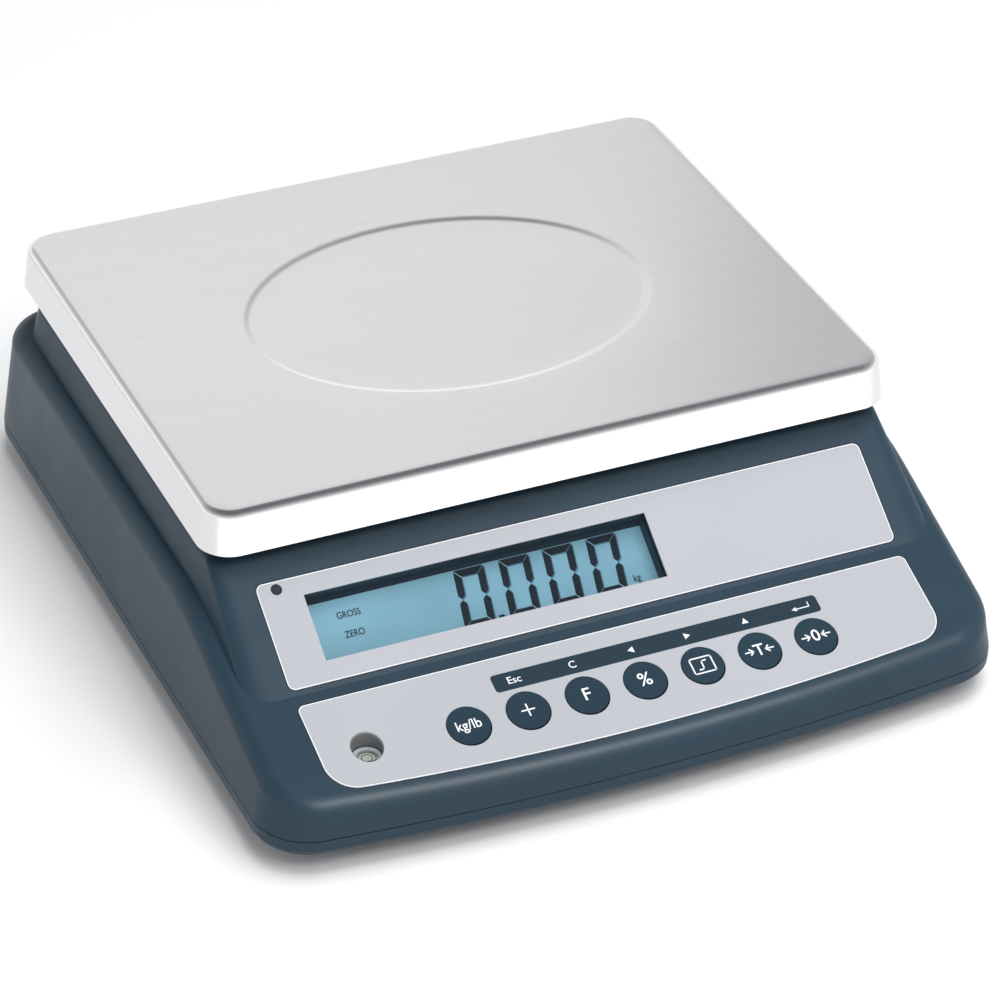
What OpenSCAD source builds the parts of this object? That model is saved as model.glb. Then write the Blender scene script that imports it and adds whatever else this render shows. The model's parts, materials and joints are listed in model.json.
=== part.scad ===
// Bench counting scale: stainless pan on a single-point load cell, in a two-part
// plastic housing with a display slope, a flatter key slope and four levelling feet.
// Front is -Y, the operator's right is +X, and the feet stand on Z = 0.

/* [Housing] */
// Overall width of the housing at its seam
housing_w = 320; // [310:1:330]
// Overall depth of the housing at its seam
housing_d = 346; // [340:1:352]
// Clear height under the tray
foot_gap = 8; // [7:0.5:9]
// Height of the bottom tray's side
tray_h = 8.5; // [8:0.5:10]
// Height of the shoulder that runs round the lower tier
shoulder_z = 66.5; // [64:0.5:69]
// Height of the deck under the pan
deck_z = 82.5; // [81:0.5:84]
// Width of the upper tier at the deck
deck_w = 293; // [288:1:294]
// Wall thickness of both plastic shells
wall = 2.8; // [2.4:0.1:3]
// Radius of the front edge's bow, seen from above
bow_r = 1250; // [900:50:2000]

/* [Panels] */
// Slope of the key panel
key_tilt = 19; // [18:0.5:20]
// Slope of the display panel
display_tilt = 34.5; // [33.5:0.5:35]
// Width of both overlays
overlay_w = 265; // [258:1:268]
// Height of the display overlay along its slope
display_overlay_h = 44.6; // [43:0.1:45]
// Height of the key overlay along its slope, at the middle of the bow
key_overlay_h = 47.3; // [46:0.1:48]
// Width of the display window
window_w = 147; // [140:1:150]
// Height of the display window
window_h = 28.1; // [27:0.1:28.5]

/* [Keys] */
// Distance between neighbouring keys
key_pitch = 25.2; // [24:0.1:25.6]
// Diameter of a key cap
key_d = 17.6; // [16:0.1:18]
// How far a key travels
key_travel = 0.8; // [0.5:0.1:1]

/* [Pan] */
// Width of the pan at its rim
pan_w = 300; // [297:1:304]
// Depth of the pan at its rim
pan_d = 231; // [226:1:234]
// Height of the pan's skirt and top
pan_h = 18.5; // [17:0.5:20]
// Sheet thickness of the pan
pan_t = 0.8; // [0.6:0.1:1]

/* [Feet] */
// Diameter of a foot's threaded stud
stud_d = 6; // [5:0.5:6]
// Diameter of a foot's pad
pad_d = 28; // [24:1:30]

/* [Hidden] */
$fn = 48;
HULL_FN = 28;
fit = 0.05;
gap = 0.3;
skin = 0.5;

// Colours
slate = [0.22, 0.30, 0.35];
steel = [0.80, 0.81, 0.82];
silver = [0.82, 0.82, 0.86];
lcd_blue = [0.50, 0.70, 0.78];
board_green = [0.10, 0.35, 0.20];
alloy = [0.68, 0.69, 0.71];
rubber_black = [0.08, 0.08, 0.09];
zinc = [0.75, 0.75, 0.72];

// Housing levels and outline
half_w = housing_w / 2;
front_y = -housing_d / 2;
back_y = housing_d / 2;
seam_z = foot_gap + tray_h;
corner_r = 24;
side_lean = 2.6;
back_lean = 10;
shoulder_r = 7;
nose_r = 6;
floor_z = foot_gap + wall;

// The two slopes meet in a fold that runs across the housing
fold_y = -116;
fold_z = 47.6;
key_rise = tan(key_tilt);
display_rise = tan(display_tilt);
slope_top_y = fold_y + (deck_z - fold_z) / display_rise;
shoulder_y = fold_y + (shoulder_z - fold_z) / key_rise;
tier_half_w = deck_w / 2;
tier_lean = 4.1;
tier_back_y = 149;

// Overlays, measured up each slope from the fold
display_v = 2.7;
key_v = -4.5;
key_row_v = -31.7;
first_key_x = -3 * key_pitch + 4.2;
window_x = -114.7;
window_v = display_v + 8.5;
led_x = -124.5;
led_v = display_v + 41.2;
lcd_depth = 9;
lcd_t = 2.8;
backlight_t = 3.5;
board_t = 1.6;
board_n = -lcd_depth - lcd_t - backlight_t;
vial_x = -113;
vial_v = -29.3;
vial_y = fold_y + vial_v * cos(key_tilt);
vial_h = 7.5;
vial_base_z = fold_z + vial_v * sin(key_tilt) - 4.5 - vial_h;
vial_bore_r = 6.6;

// Pan and platform
pan_rim_z = 88;
pan_top_z = pan_rim_z + pan_h;
pan_y = front_y + 99 + pan_d / 2;
pan_flare = 1.8;
pan_bend = 3.5;
pan_corner_r = 14;
buffer_x = 112;
buffer_y = 78;
spider_z = 86.5;
spider_t = 5.5;

// Load cell, with its fixed end on the left and its live end on the right
cell = [130, 30, 22];
cell_z = 40;
cell_hole_x = [50, 35];

// Feet
foot_x = 128;
foot_front_y = -136;
foot_back_y = 138;
boss_top_z = 24;

// Battery and boards
battery_size = [101, 70, 47];
battery_y = 80;
hatch = [112, 82];
main_board_size = [62, 112, 1.6];
main_board_at = [-137, -44, 26];

function bow_y(x) = front_y + bow_r - sqrt(bow_r * bow_r - x * x);
function key_plane_z(y) = fold_z + (y - fold_y) * key_rise;

// ---------- Placing helpers ----------

module on_key_slope() {
    translate([0, fold_y, fold_z]) rotate([key_tilt, 0, 0]) children();
}

module on_display_slope() {
    translate([0, fold_y, fold_z]) rotate([display_tilt, 0, 0]) children();
}

module on_back_wall(x, z) {
    foot_z = seam_z + 0.5;
    lean = atan(back_lean / (shoulder_z - shoulder_r - foot_z));
    y = back_y - (z - foot_z) * tan(lean);
    translate([x, y, z]) rotate([lean - 90, 0, 0]) children();
}

module at_feet() {
    for (x = [-foot_x, foot_x], y = [foot_front_y, foot_back_y]) translate([x, y, 0]) children();
}

module rounded_rect(w, d, r) {
    translate([r - w / 2, r - d / 2]) square([w - 2 * r, d - 2 * r]);
    translate([-w / 2, r - d / 2]) square([w, d - 2 * r]);
    translate([r - w / 2, -d / 2]) square([w - 2 * r, d]);
    for (x = [-1, 1], y = [-1, 1]) translate([x * (w / 2 - r), y * (d / 2 - r)]) circle(r);
}

// ---------- Housing shells ----------

// Lower tier: seam outline below, nose along the bow, shoulders along the sides
module lower_tier(inset = 0) {
    r_nose = nose_r - min(inset, nose_r - 2);
    r_edge = shoulder_r - min(inset, shoulder_r - 2);
    drop = inset / cos(key_tilt);
    top = shoulder_z - inset;
    side_x = half_w - side_lean - inset;
    nose_x = half_w - corner_r - 1.5;
    hull() {
        translate([0, 0, seam_z - (inset > 0 ? 1 : 0)])
            linear_extrude(0.5) plan_outline(inset);
        for (i = [-4:4]) nose_ball(i * nose_x / 4, bow_y(i * nose_x / 4) + 0.8 + inset, r_nose, drop);
        for (s = [-1, 1], a = [22.5:22.5:90]) nose_ball(
            s * (nose_x + (corner_r - inset - r_nose) * sin(a)),
            bow_y(nose_x) + corner_r - (corner_r - inset - r_nose) * cos(a) - r_nose + 0.8,
            r_nose, drop);
        for (s = [-1, 1], p = shoulder_line(inset)) translate([s * (side_x - r_edge), p[0], p[1] - r_edge])
            sphere(r_edge, $fn = HULL_FN);
        for (s = [-1, 1]) translate([s * (side_x - 20), back_y - back_lean - inset - 20, top - r_edge])
            rotate_extrude($fn = HULL_FN) translate([20 - r_edge, 0]) circle(r_edge, $fn = HULL_FN);
    }
}

// Plan outline: straight sides and back, bowed front, round corners
module plan_outline(inset) {
    nose_x = half_w - corner_r;
    r = corner_r - inset;
    for (i = [-4:4]) translate([i * nose_x / 4, bow_y(i * nose_x / 4) + r + inset]) circle(r, $fn = 56);
    for (s = [-1, 1]) translate([s * nose_x, back_y - corner_r]) circle(r, $fn = 56);
}

module nose_ball(x, y, r, drop) {
    z = key_plane_z(y + r) - drop - r / cos(key_tilt);
    translate([x, y + r, z]) sphere(r, $fn = HULL_FN);
}

// The key slope eases into the level shoulder over three short chords
function shoulder_line(inset) = let (t = inset / cos(key_tilt), top = shoulder_z - inset) [
    [shoulder_y - 20, key_plane_z(shoulder_y - 20) - t],
    [shoulder_y - 6, key_plane_z(shoulder_y - 6) - t - 0.6],
    [shoulder_y + 7, top - 0.5],
    [shoulder_y + 22, top]
];

// Upper tier: deck under the pan, display slope in front with round lower corners
module upper_tier(inset = 0) {
    r = 2.5;
    low_r = 12;
    top_x = tier_half_w - inset;
    low_x = tier_half_w + tier_lean - inset;
    top = deck_z - inset;
    front = slope_top_y - r * (1 - tan(display_tilt / 2)) + inset * 1.7;
    low_v = 0.5 + low_r;
    hull() {
        for (s = [-1, 1]) {
            translate([s * (top_x - 6), front + 6, top - r])
                rotate_extrude($fn = HULL_FN) translate([6 - r, 0]) circle(r, $fn = HULL_FN);
            translate([s * (top_x - 14), tier_back_y - inset - 15, top - r])
                rotate_extrude($fn = HULL_FN) translate([14 - r, 0]) circle(r, $fn = HULL_FN);
            translate([s * (low_x - 14), tier_back_y - inset - 13, fold_z - 8])
                cylinder(h = 1, r = 14, $fn = HULL_FN);
            on_display_slope() translate([s * (low_x - low_r), low_v, -inset - 1])
                cylinder(h = 1, r = low_r, $fn = HULL_FN);
            translate([s * (low_x - 4), fold_y + 14 + inset, fold_z - 8])
                cylinder(h = 1, r = 4, $fn = HULL_FN);
        }
    }
}

// Screws come up through the tray into blind posts: x, y and the height of the post
SCREW_POSTS = [
    [-145, 128, 66], [145, 128, 66], [-145, 0, 66], [145, 0, 66],
    [-108, -160, 30], [108, -160, 30]
];
screw_post_z = seam_z + 0.5;

module screw_post(p) {
    translate([p[0], p[1], screw_post_z]) difference() {
        cylinder(h = p[2] - screw_post_z, r = 4);
        translate([0, 0, -1]) cylinder(h = min(14, p[2] - screw_post_z - 2), r = 1.5);
    }
}

module deck_opening() {
    translate([44, pan_y, deck_z - 15]) cube([50, 46, 40], center = true);
}

module top_housing() {
    color(slate) {
        difference() {
            union() {
                difference() {
                    union() {
                        lower_tier();
                        upper_tier();
                    }
                    lower_tier(wall);
                    upper_tier(wall);
                }
                on_display_slope() lcd_frame();
                vial_well();
                on_display_slope() board_posts(DISPLAY_BOARD_SCREWS, board_n, 0.4 - wall, 3);
                on_key_slope() board_posts(KEY_BOARD_SCREWS, key_board_n, 0.4 - wall, 3);
            }
            on_display_slope() board_posts(DISPLAY_BOARD_SCREWS, board_n - 1, -wall, 1.25);
            on_key_slope() board_posts(KEY_BOARD_SCREWS, key_board_n - 1, -wall, 1.25);
            on_display_slope() {
                translate([0, display_v + display_overlay_h / 2, -skin])
                    linear_extrude(5) rounded_rect(overlay_w + 0.6, display_overlay_h + 0.6, 3.3);
                translate([window_x, window_v, -20]) cube([window_w, window_h, 30]);
                translate([led_x, led_v, -10]) cylinder(h = 12, r = 2.3);
            }
            on_key_slope() {
                translate([0, 0, -skin]) linear_extrude(5) key_overlay_outline(0.3);
                for (i = [0:6]) translate([first_key_x + i * key_pitch, key_row_v, -10])
                    cylinder(h = 12, r = key_d / 2 + gap);
            }
            translate([vial_x, vial_y, vial_base_z - 3]) cylinder(h = 30, r = vial_bore_r);
            deck_opening();
            on_back_wall(-108, 38) translate([0, 0, -9]) cylinder(h = 14, r = 4.2);
            on_back_wall(-70, 38) translate([0, 0, -1]) cube([19.4, 13.4, 18], center = true);
        }
        for (p = SCREW_POSTS) screw_post(p);
    }
}

module board_posts(places, low, high, r) {
    for (p = places) translate([p[0], p[1], low]) cylinder(h = high - low, r = r);
}

// Upright well under the round sight hole, which holds the level vial
module vial_well() {
    wall_r = vial_bore_r + 2;
    difference() {
        translate([vial_x, vial_y, vial_base_z - 1]) cylinder(h = 13, r = wall_r);
        on_key_slope() translate([vial_x - 20, vial_v - 20, -wall / 2]) cube([40, 40, 20]);
    }
}

// Frame behind the window that holds the display back from the panel
module lcd_frame() {
    rim = 2;
    h = lcd_depth - wall + 1;
    translate([window_x - rim, window_v - rim, -lcd_depth]) difference() {
        cube([window_w + 2 * rim, window_h + 2 * rim, h]);
        translate([rim, rim, -1]) cube([window_w, window_h, h + 2]);
    }
}

module bottom_tray() {
    color(slate) difference() {
        union() {
            difference() {
                hull() {
                    translate([0, 0, seam_z - 5]) linear_extrude(5 - 0.4) plan_outline(0);
                    translate([0, 1, foot_gap]) linear_extrude(0.5) plan_outline(2);
                }
                hull() translate([0, 0, floor_z]) linear_extrude(20) plan_outline(wall);
            }
            at_feet() translate([0, 0, floor_z - 1]) cylinder(h = boss_top_z - floor_z + 1, r = 8);
            for (p = SCREW_POSTS) translate([p[0], p[1], floor_z - 1])
                cylinder(h = screw_post_z - floor_z + 1, r = 5);
            for (x = [6, main_board_size[0] - 6], y = [6, main_board_size[1] - 6])
                translate([main_board_at[0] + x, main_board_at[1] + y, floor_z - 1])
                    cylinder(h = main_board_at[2] - floor_z + 1, r = 3.5);
            tray_ribs();
        }
        at_feet() translate([0, 0, foot_gap - 1]) cylinder(h = 30, r = 5);
        for (p = SCREW_POSTS) translate([p[0], p[1], foot_gap - 1]) {
            cylinder(h = 20, r = 1.9);
            cylinder(h = 3.2, r = 3.6);
        }
        for (x = [6, main_board_size[0] - 6], y = [6, main_board_size[1] - 6])
            translate([main_board_at[0] + x, main_board_at[1] + y, floor_z])
                cylinder(h = 30, r = 1.25);
        hatch_opening();
        at_hatch_screws() cylinder(h = 6, r = 1);
        pedestal_bolts(foot_gap - 1, 20, 3.2);
        pedestal_bolts(foot_gap - 1, 2.6, 6);
    }
}

module tray_ribs() {
    rib_h = 4;
    for (y = [-100, -60]) translate([-120, y, floor_z - 0.5]) cube([240, 2, rib_h]);
    for (x = [-70, 70]) translate([x - 1, -140, floor_z - 0.5]) cube([2, 140, rib_h]);
}

module hatch_opening() {
    centre_y = battery_y + battery_size[1] / 2;
    translate([0, centre_y, foot_gap - 1]) linear_extrude(20) rounded_rect(hatch[0] - 6, hatch[1] - 6, 3);
    translate([0, centre_y, foot_gap - 1]) linear_extrude(2.4) rounded_rect(hatch[0], hatch[1], 5);
}

module at_hatch_screws() {
    for (s = [-1, 1]) translate([s * (hatch[0] / 2 - 1.6), battery_y + battery_size[1] / 2, foot_gap - 1])
        children();
}

module pedestal_bolts(z, h, r) {
    for (x = cell_hole_x) translate([-x, pan_y, z]) cylinder(h = h, r = r);
}

// ---------- Panels, display and keys ----------

module display_overlay() {
    color(silver) on_display_slope() difference() {
        translate([0, display_v + display_overlay_h / 2, -skin])
            linear_extrude(skin + 0.1) rounded_rect(overlay_w, display_overlay_h, 3);
        translate([window_x, window_v, -2]) cube([window_w, window_h, 4]);
        translate([led_x, led_v, -2]) cylinder(h = 4, r = 2.3);
    }
}

// Key overlay: straight top, bowed bottom edge, large bottom corners
module key_overlay_outline(grow = 0) {
    top_r = 3 + grow;
    low_r = 13 + grow;
    w = overlay_w / 2 + grow;
    top = key_v + grow;
    low = key_v - key_overlay_h - grow;
    low_side = low + bow_r - sqrt(bow_r * bow_r - pow(w - low_r, 2)) + low_r;
    intersection() {
        translate([0, low + bow_r]) circle(bow_r, $fn = 720);
        translate([low_r - w, low - 1]) square([2 * (w - low_r), key_overlay_h]);
    }
    translate([-w, low_side]) square([2 * w, top - top_r - low_side]);
    translate([top_r - w, low_side]) square([2 * (w - top_r), top - low_side]);
    for (s = [-1, 1]) {
        translate([s * (w - low_r), low_side]) circle(low_r);
        translate([s * (w - top_r), top - top_r]) circle(top_r);
    }
}

module key_overlay() {
    color(silver) on_key_slope() difference() {
        translate([0, 0, -skin]) linear_extrude(skin + 0.1) key_overlay_outline();
        for (i = [0:6]) translate([first_key_x + i * key_pitch, key_row_v, -3])
            cylinder(h = 6, r = key_d / 2 + gap);
        rotate([-key_tilt, 0, 0]) translate([vial_x, vial_y - fold_y, vial_base_z - fold_z])
            cylinder(h = 30, r = vial_bore_r);
    }
}

module display_window() {
    color([0.85, 0.9, 0.92]) on_display_slope()
        translate([window_x + 0.1, window_v + 0.1, -1.4]) cube([window_w - 0.2, window_h - 0.2, 1]);
}

module lcd_panel() {
    color(lcd_blue) on_display_slope()
        translate([window_x - 2, window_v - 2, -lcd_depth - lcd_t])
            cube([window_w + 4, window_h + 4, lcd_t]);
}

module lcd_backlight() {
    color("white") on_display_slope()
        translate([window_x - 2, window_v - 2, board_n])
            cube([window_w + 4, window_h + 4, backlight_t]);
}

DISPLAY_BOARD_SCREWS = [[-108, 6], [26, 6], [-108, 46], [26, 46]];

module display_board() {
    color(board_green) on_display_slope() difference() {
        translate([-132, 2, board_n - board_t]) cube([174, 48, board_t]);
        for (p = DISPLAY_BOARD_SCREWS) translate([p[0], p[1], board_n - 4]) cylinder(h = 6, r = 1.3);
    }
}

module display_board_screws() {
    color(zinc) on_display_slope() for (p = DISPLAY_BOARD_SCREWS) translate([p[0], p[1], board_n - board_t - 1.8]) {
        cylinder(h = 1.8, r = 2.4);
        cylinder(h = board_t + 1.8 - board_n - wall, r = 1.25);
    }
}

module indicator_led() {
    color([0.25, 0.26, 0.3]) on_display_slope() translate([led_x, led_v, board_n]) {
        cylinder(h = 3, r = 2.9);
        cylinder(h = -board_n, r = 2);
    }
}

KEY_BOARD_SCREWS = [[-91, -41], [97, -41], [-91, -22], [97, -22]];
key_board_n = -8.8;

module key_board() {
    color(board_green) on_key_slope() difference() {
        translate([-96, -45, key_board_n - board_t]) cube([198, 27, board_t]);
        for (p = KEY_BOARD_SCREWS) translate([p[0], p[1], key_board_n - 4]) cylinder(h = 6, r = 1.3);
    }
}

module key_board_screws() {
    color(zinc) on_key_slope() for (p = KEY_BOARD_SCREWS) translate([p[0], p[1], key_board_n - board_t - 1.8]) {
        cylinder(h = 1.8, r = 2.4);
        cylinder(h = board_t + 1.8 - key_board_n - wall, r = 1.25);
    }
}

module key_switches() {
    color([0.12, 0.12, 0.13]) on_key_slope()
        for (i = [0:6]) translate([first_key_x + i * key_pitch, key_row_v, key_board_n]) {
            translate([-3, -3, 0]) cube([6, 6, 1.5]);
            cylinder(h = 1.7, r = 1.7);
        }
}

// Key cap: round top that stands a little proud, a flange behind the panel, a plunger
module key_cap(index) {
    flange_z = -wall - gap;
    color(slate) on_key_slope() translate([first_key_x + index * key_pitch, key_row_v, 0]) {
        translate([0, 0, flange_z]) cylinder(h = 0.3 - flange_z, r = key_d / 2);
        translate([0, 0, flange_z - 1]) cylinder(h = 1, r = key_d / 2 + 1.3);
        translate([0, 0, -7.1 + key_travel + 0.35]) cylinder(h = 2.3, r = 2);
    }
}

module key_unit() { key_cap(0); }
module key_plus() { key_cap(1); }
module key_function() { key_cap(2); }
module key_percent() { key_cap(3); }
module key_sample() { key_cap(4); }
module key_tare() { key_cap(5); }
module key_zero() { key_cap(6); }

module level_vial() {
    color([0.75, 0.78, 0.8]) translate([vial_x, vial_y, vial_base_z]) difference() {
        cylinder(h = vial_h, r = vial_bore_r - 0.3);
        translate([0, 0, 1.6]) cylinder(h = vial_h, r = 4.4);
    }
}

module vial_liquid_bubble() {
    color([0.7, 0.85, 0.4]) translate([vial_x, vial_y, vial_base_z + 1.6])
        cylinder(h = vial_h - 2.4, r = 4.4);
}

// ---------- Electronics ----------

module main_board() {
    color(board_green) translate(main_board_at) difference() {
        cube(main_board_size);
        for (x = [6, main_board_size[0] - 6], y = [6, main_board_size[1] - 6])
            translate([x, y, -1]) cylinder(h = 4, r = 1.6);
    }
}

module board_components() {
    color([0.1, 0.1, 0.11]) translate(main_board_at + [0, 0, main_board_size[2]]) {
        translate([22, 50, 0]) cube([16, 16, 2]);
        translate([24, 78, 0]) cube([12, 8, 2]);
        translate([46, 20, 0]) cylinder(h = 11, r = 5);
        translate([46, 36, 0]) cylinder(h = 9, r = 4);
        translate([3, 18, 0]) cube([6, 30, 7]);
        translate([18, 100, 0]) cube([24, 6, 7]);
        translate([14, 14, 0]) cube([10, 15, 4.5]);
    }
}

module board_screws() {
    color(zinc) translate(main_board_at + [0, 0, main_board_size[2]])
        for (x = [6, main_board_size[0] - 6], y = [6, main_board_size[1] - 6]) translate([x, y, 0]) {
            cylinder(h = 2, r = 2.8);
            translate([0, 0, -8]) cylinder(h = 8, r = 1.25);
        }
}

module buzzer() {
    color("black") translate(main_board_at + [48, 92, main_board_size[2]]) difference() {
        cylinder(h = 7, r = 6);
        translate([0, 0, 4]) cylinder(h = 4, r = 1);
    }
}

// Flat cable that rises from the main board to the display board
RIBBON = [[-118, -40, 27.6], [-118, -50, 32], [-118, -60, 40], [-118, -70, 47.5], [-118, -79, 51.5]];

module ribbon_cable() {
    color([0.6, 0.6, 0.62]) strip_along(RIBBON, 14, 0.9);
}

module strip_along(route, width, t) {
    rotate([90, 0, 90]) translate([0, 0, route[0][0]]) linear_extrude(width)
        polygon(concat(
            [for (p = route) [p[1], p[2]]],
            [for (i = [len(route) - 1:-1:0]) [route[i][1], route[i][2] + t]]
        ));
}

// Round lead swept along a route: rings of points joined ring to ring
module lead(route, r) {
    sides = 8;
    n = len(route);
    function along(i) = let (a = route[max(i - 1, 0)], b = route[min(i + 1, n - 1)]) (b - a) / norm(b - a);
    function side(d) = let (s = cross(d, abs(d[2]) > 0.9 ? [1, 0, 0] : [0, 0, 1])) s / norm(s);
    points = [for (i = [0:n - 1], k = [0:sides - 1])
        let (d = along(i), s = side(d), u = cross(s, d), a = 360 * k / sides)
        route[i] + r * (cos(a) * s + sin(a) * u)];
    faces = concat(
        [[for (k = [0:sides - 1]) k]],
        [for (i = [0:n - 2], k = [0:sides - 1]) [
            i * sides + k, (i + 1) * sides + k,
            (i + 1) * sides + (k + 1) % sides, i * sides + (k + 1) % sides]],
        [[for (k = [sides - 1:-1:0]) (n - 1) * sides + k]]
    );
    polyhedron(points, faces);
}

module load_cell_cable() {
    color([0.3, 0.3, 0.32]) lead([
        [-66, 41, 51], [-72, 40, 50], [-78, 38, 44], [-81, 34, 38], [-86, 28, 34],
        [-94, 22, 34], [-104, 18, 36], [-116, 12, 37], [-126, 4, 36.8], [-131, -4, 36.5]], 1.8);
}

module battery_leads() {
    color([0.7, 0.12, 0.1]) {
        lead([[-51.5, 138, 52], [-58, 138, 51], [-66, 134, 46], [-74, 124, 40],
            [-84, 106, 36], [-96, 90, 34], [-107, 76, 32.4], [-112, 68, 31.4], [-112, 62.1, 31.2]], 1.1);
    }
    color([0.05, 0.05, 0.05])
        lead([[-51.5, 92, 52], [-58, 92, 51], [-66, 90, 45], [-76, 86, 38],
            [-88, 81, 34.4], [-98, 74, 32.4], [-103, 68, 31.4], [-103, 62.1, 31.2]], 1.1);
}

module battery() {
    color([0.25, 0.26, 0.28]) translate([-battery_size[0] / 2, battery_y, floor_z + 1.2]) {
        cube(battery_size);
        for (y = [12, 58]) translate([-0.8, y - 3, 35]) cube([2, 6, 5]);
    }
}

module battery_pad() {
    color(rubber_black) translate([-hatch[0] / 2 + 12, battery_y + 8, foot_gap + 2.8])
        cube([hatch[0] - 24, battery_size[1] - 16, 1.2]);
}

module battery_cover() {
    centre_y = battery_y + battery_size[1] / 2;
    color(slate) difference() {
        union() {
            translate([0, centre_y, foot_gap + 0.1]) linear_extrude(1.2)
                rounded_rect(hatch[0] - 0.8, hatch[1] - 0.8, 4.6);
            translate([0, centre_y, foot_gap + 1]) linear_extrude(1.8)
                rounded_rect(hatch[0] - 7, hatch[1] - 7, 2.5);
        }
        at_hatch_screws() cylinder(h = 6, r = 1.1);
    }
}

module battery_cover_screws() {
    color(zinc) at_hatch_screws() {
        translate([0, 0, 0.2]) cylinder(h = 0.9, r = 1.5);
        translate([0, 0, 0.2]) cylinder(h = 4, r = 1);
    }
}

// ---------- Weighing mechanism ----------

module pedestal_block(z0, z1) {
    translate([-62, pan_y - 15, z0]) cube([38, 30, z1 - z0]);
}

module load_cell_pedestal() {
    color(alloy) difference() {
        union() {
            translate([-72, pan_y - 34, floor_z]) cube([144, 68, 4]);
            pedestal_block(floor_z + 2, cell_z);
        }
        pedestal_bolts(floor_z - 1, 40, 3.1);
        translate([-20, pan_y - 20, floor_z - 1]) cube([52, 40, 8]);
    }
}

module load_cell() {
    color(alloy) translate([-cell[0] / 2, pan_y - cell[1] / 2, cell_z]) difference() {
        cube(cell);
        translate([cell[0] / 2 - 17, -1, cell[2] / 2]) rotate([-90, 0, 0]) cylinder(h = cell[1] + 2, r = 7);
        translate([cell[0] / 2 + 17, -1, cell[2] / 2]) rotate([-90, 0, 0]) cylinder(h = cell[1] + 2, r = 7);
        translate([cell[0] / 2 - 17, -1, cell[2] / 2 - 3]) cube([34, cell[1] + 2, 6]);
        for (x = cell_hole_x, s = [-1, 1]) translate([cell[0] / 2 + s * x, cell[1] / 2, -1])
            cylinder(h = cell[2] + 2, r = 3.05);
    }
}

module load_cell_lower_bolts() {
    color(zinc) for (x = cell_hole_x) translate([-x, pan_y, foot_gap + 0.1]) {
        cylinder(h = 1.5, r = 5);
        cylinder(h = cell_z - foot_gap + 10, r = 3);
    }
}

module load_cell_upper_bolts() {
    color(zinc) for (x = cell_hole_x) translate([x, pan_y, cell_z + 14]) {
        cylinder(h = spider_z + spider_t - cell_z - 14, r = 3);
        translate([0, 0, spider_z + spider_t - cell_z - 14]) cylinder(h = 4, r = 5);
    }
}

module platform_post() {
    color(alloy) difference() {
        translate([24, pan_y - 15, cell_z + cell[2]]) cube([38, 30, spider_z - cell_z - cell[2]]);
        for (x = cell_hole_x) translate([x, pan_y, cell_z]) cylinder(h = 60, r = 3.05);
    }
}

module spider() {
    color(alloy) difference() {
        union() {
            translate([0, pan_y, spider_z]) linear_extrude(spider_t) spider_outline();
            for (x = [-1, 1], y = [-1, 1]) translate([x * buffer_x, pan_y + y * buffer_y, spider_z])
                cylinder(h = spider_t + 3, r = 9);
        }
        for (x = cell_hole_x) translate([x, pan_y, spider_z - 1]) cylinder(h = spider_t + 2, r = 3.05);
        for (x = [-1, 1], y = [-1, 1]) translate([x * buffer_x, pan_y + y * buffer_y, spider_z - 1])
            cylinder(h = spider_t + 6, r = 3.05);
    }
}

module spider_outline() {
    arm = atan2(buffer_y, buffer_x);
    reach = norm([buffer_x, buffer_y]);
    for (a = [arm, 180 - arm, 180 + arm, -arm]) rotate(a) translate([0, -9]) square([reach, 18]);
    rounded_rect(140, 46, 10);
}

module spider_screws() {
    color(zinc) for (x = [-1, 1], y = [-1, 1])
        translate([x * buffer_x, pan_y + y * buffer_y, spider_z - 2]) {
            cylinder(h = 2, r = 4.5);
            cylinder(h = 12, r = 2);
        }
}

module pan_buffers() {
    bottom = spider_z + spider_t + 3;
    top = pan_top_z - pan_t;
    color(rubber_black) for (x = [-1, 1], y = [-1, 1])
        translate([x * buffer_x, pan_y + y * buffer_y, 0]) difference() {
            union() {
                translate([0, 0, bottom]) cylinder(h = top - bottom, r = 7);
                translate([0, 0, bottom]) cylinder(h = 2.5, r = 9);
                translate([0, 0, spider_z]) cylinder(h = bottom - spider_z, r = 3.05);
            }
            translate([0, 0, spider_z - 1]) cylinder(h = 11.1, r = 2);
        }
}

// Stop screws with lock nuts, half a millimetre under the live end of the load cell
module overload_stops() {
    base_t = 4;
    stop_gap = 0.5;
    color(zinc) for (s = [-1, 1]) translate([58, pan_y + s * 8, floor_z + base_t]) {
        cylinder(h = 3, r = 5.2, $fn = 6);
        cylinder(h = cell_z - floor_z - base_t - stop_gap, r = 3);
    }
}

// Pan: pressed sheet with a flared skirt, a soft bend and a shallow oval in its top
module pan_form(inset) {
    bend = pan_bend - min(inset, 2);
    top = pan_top_z - inset;
    top_w = pan_w / 2 - pan_flare - inset;
    top_d = pan_d / 2 - pan_flare - inset;
    rim = pan_corner_r - inset;
    lip = inset > 0 ? 1 : 0;
    hull() for (x = [-1, 1], y = [-1, 1]) {
        translate([x * (pan_w / 2 - pan_corner_r), pan_y + y * (pan_d / 2 - pan_corner_r), pan_rim_z - lip])
            cylinder(h = 0.4, r = rim + lip * 0.1, $fn = 48);
        translate([x * (top_w - rim + 1), pan_y + y * (top_d - rim + 1), top - bend])
            rotate_extrude($fn = 32) translate([rim - 1 - bend, 0]) circle(bend, $fn = 24);
    }
}

module weighing_pan() {
    oval_depth = 0.4;
    color(steel) difference() {
        pan_form(0);
        pan_form(pan_t);
        translate([0, pan_y - 2, pan_top_z - oval_depth]) linear_extrude(2)
            scale([1.33, 1]) circle(66, $fn = 96);
    }
}

// ---------- Power inlet, switch and fasteners ----------

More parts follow.
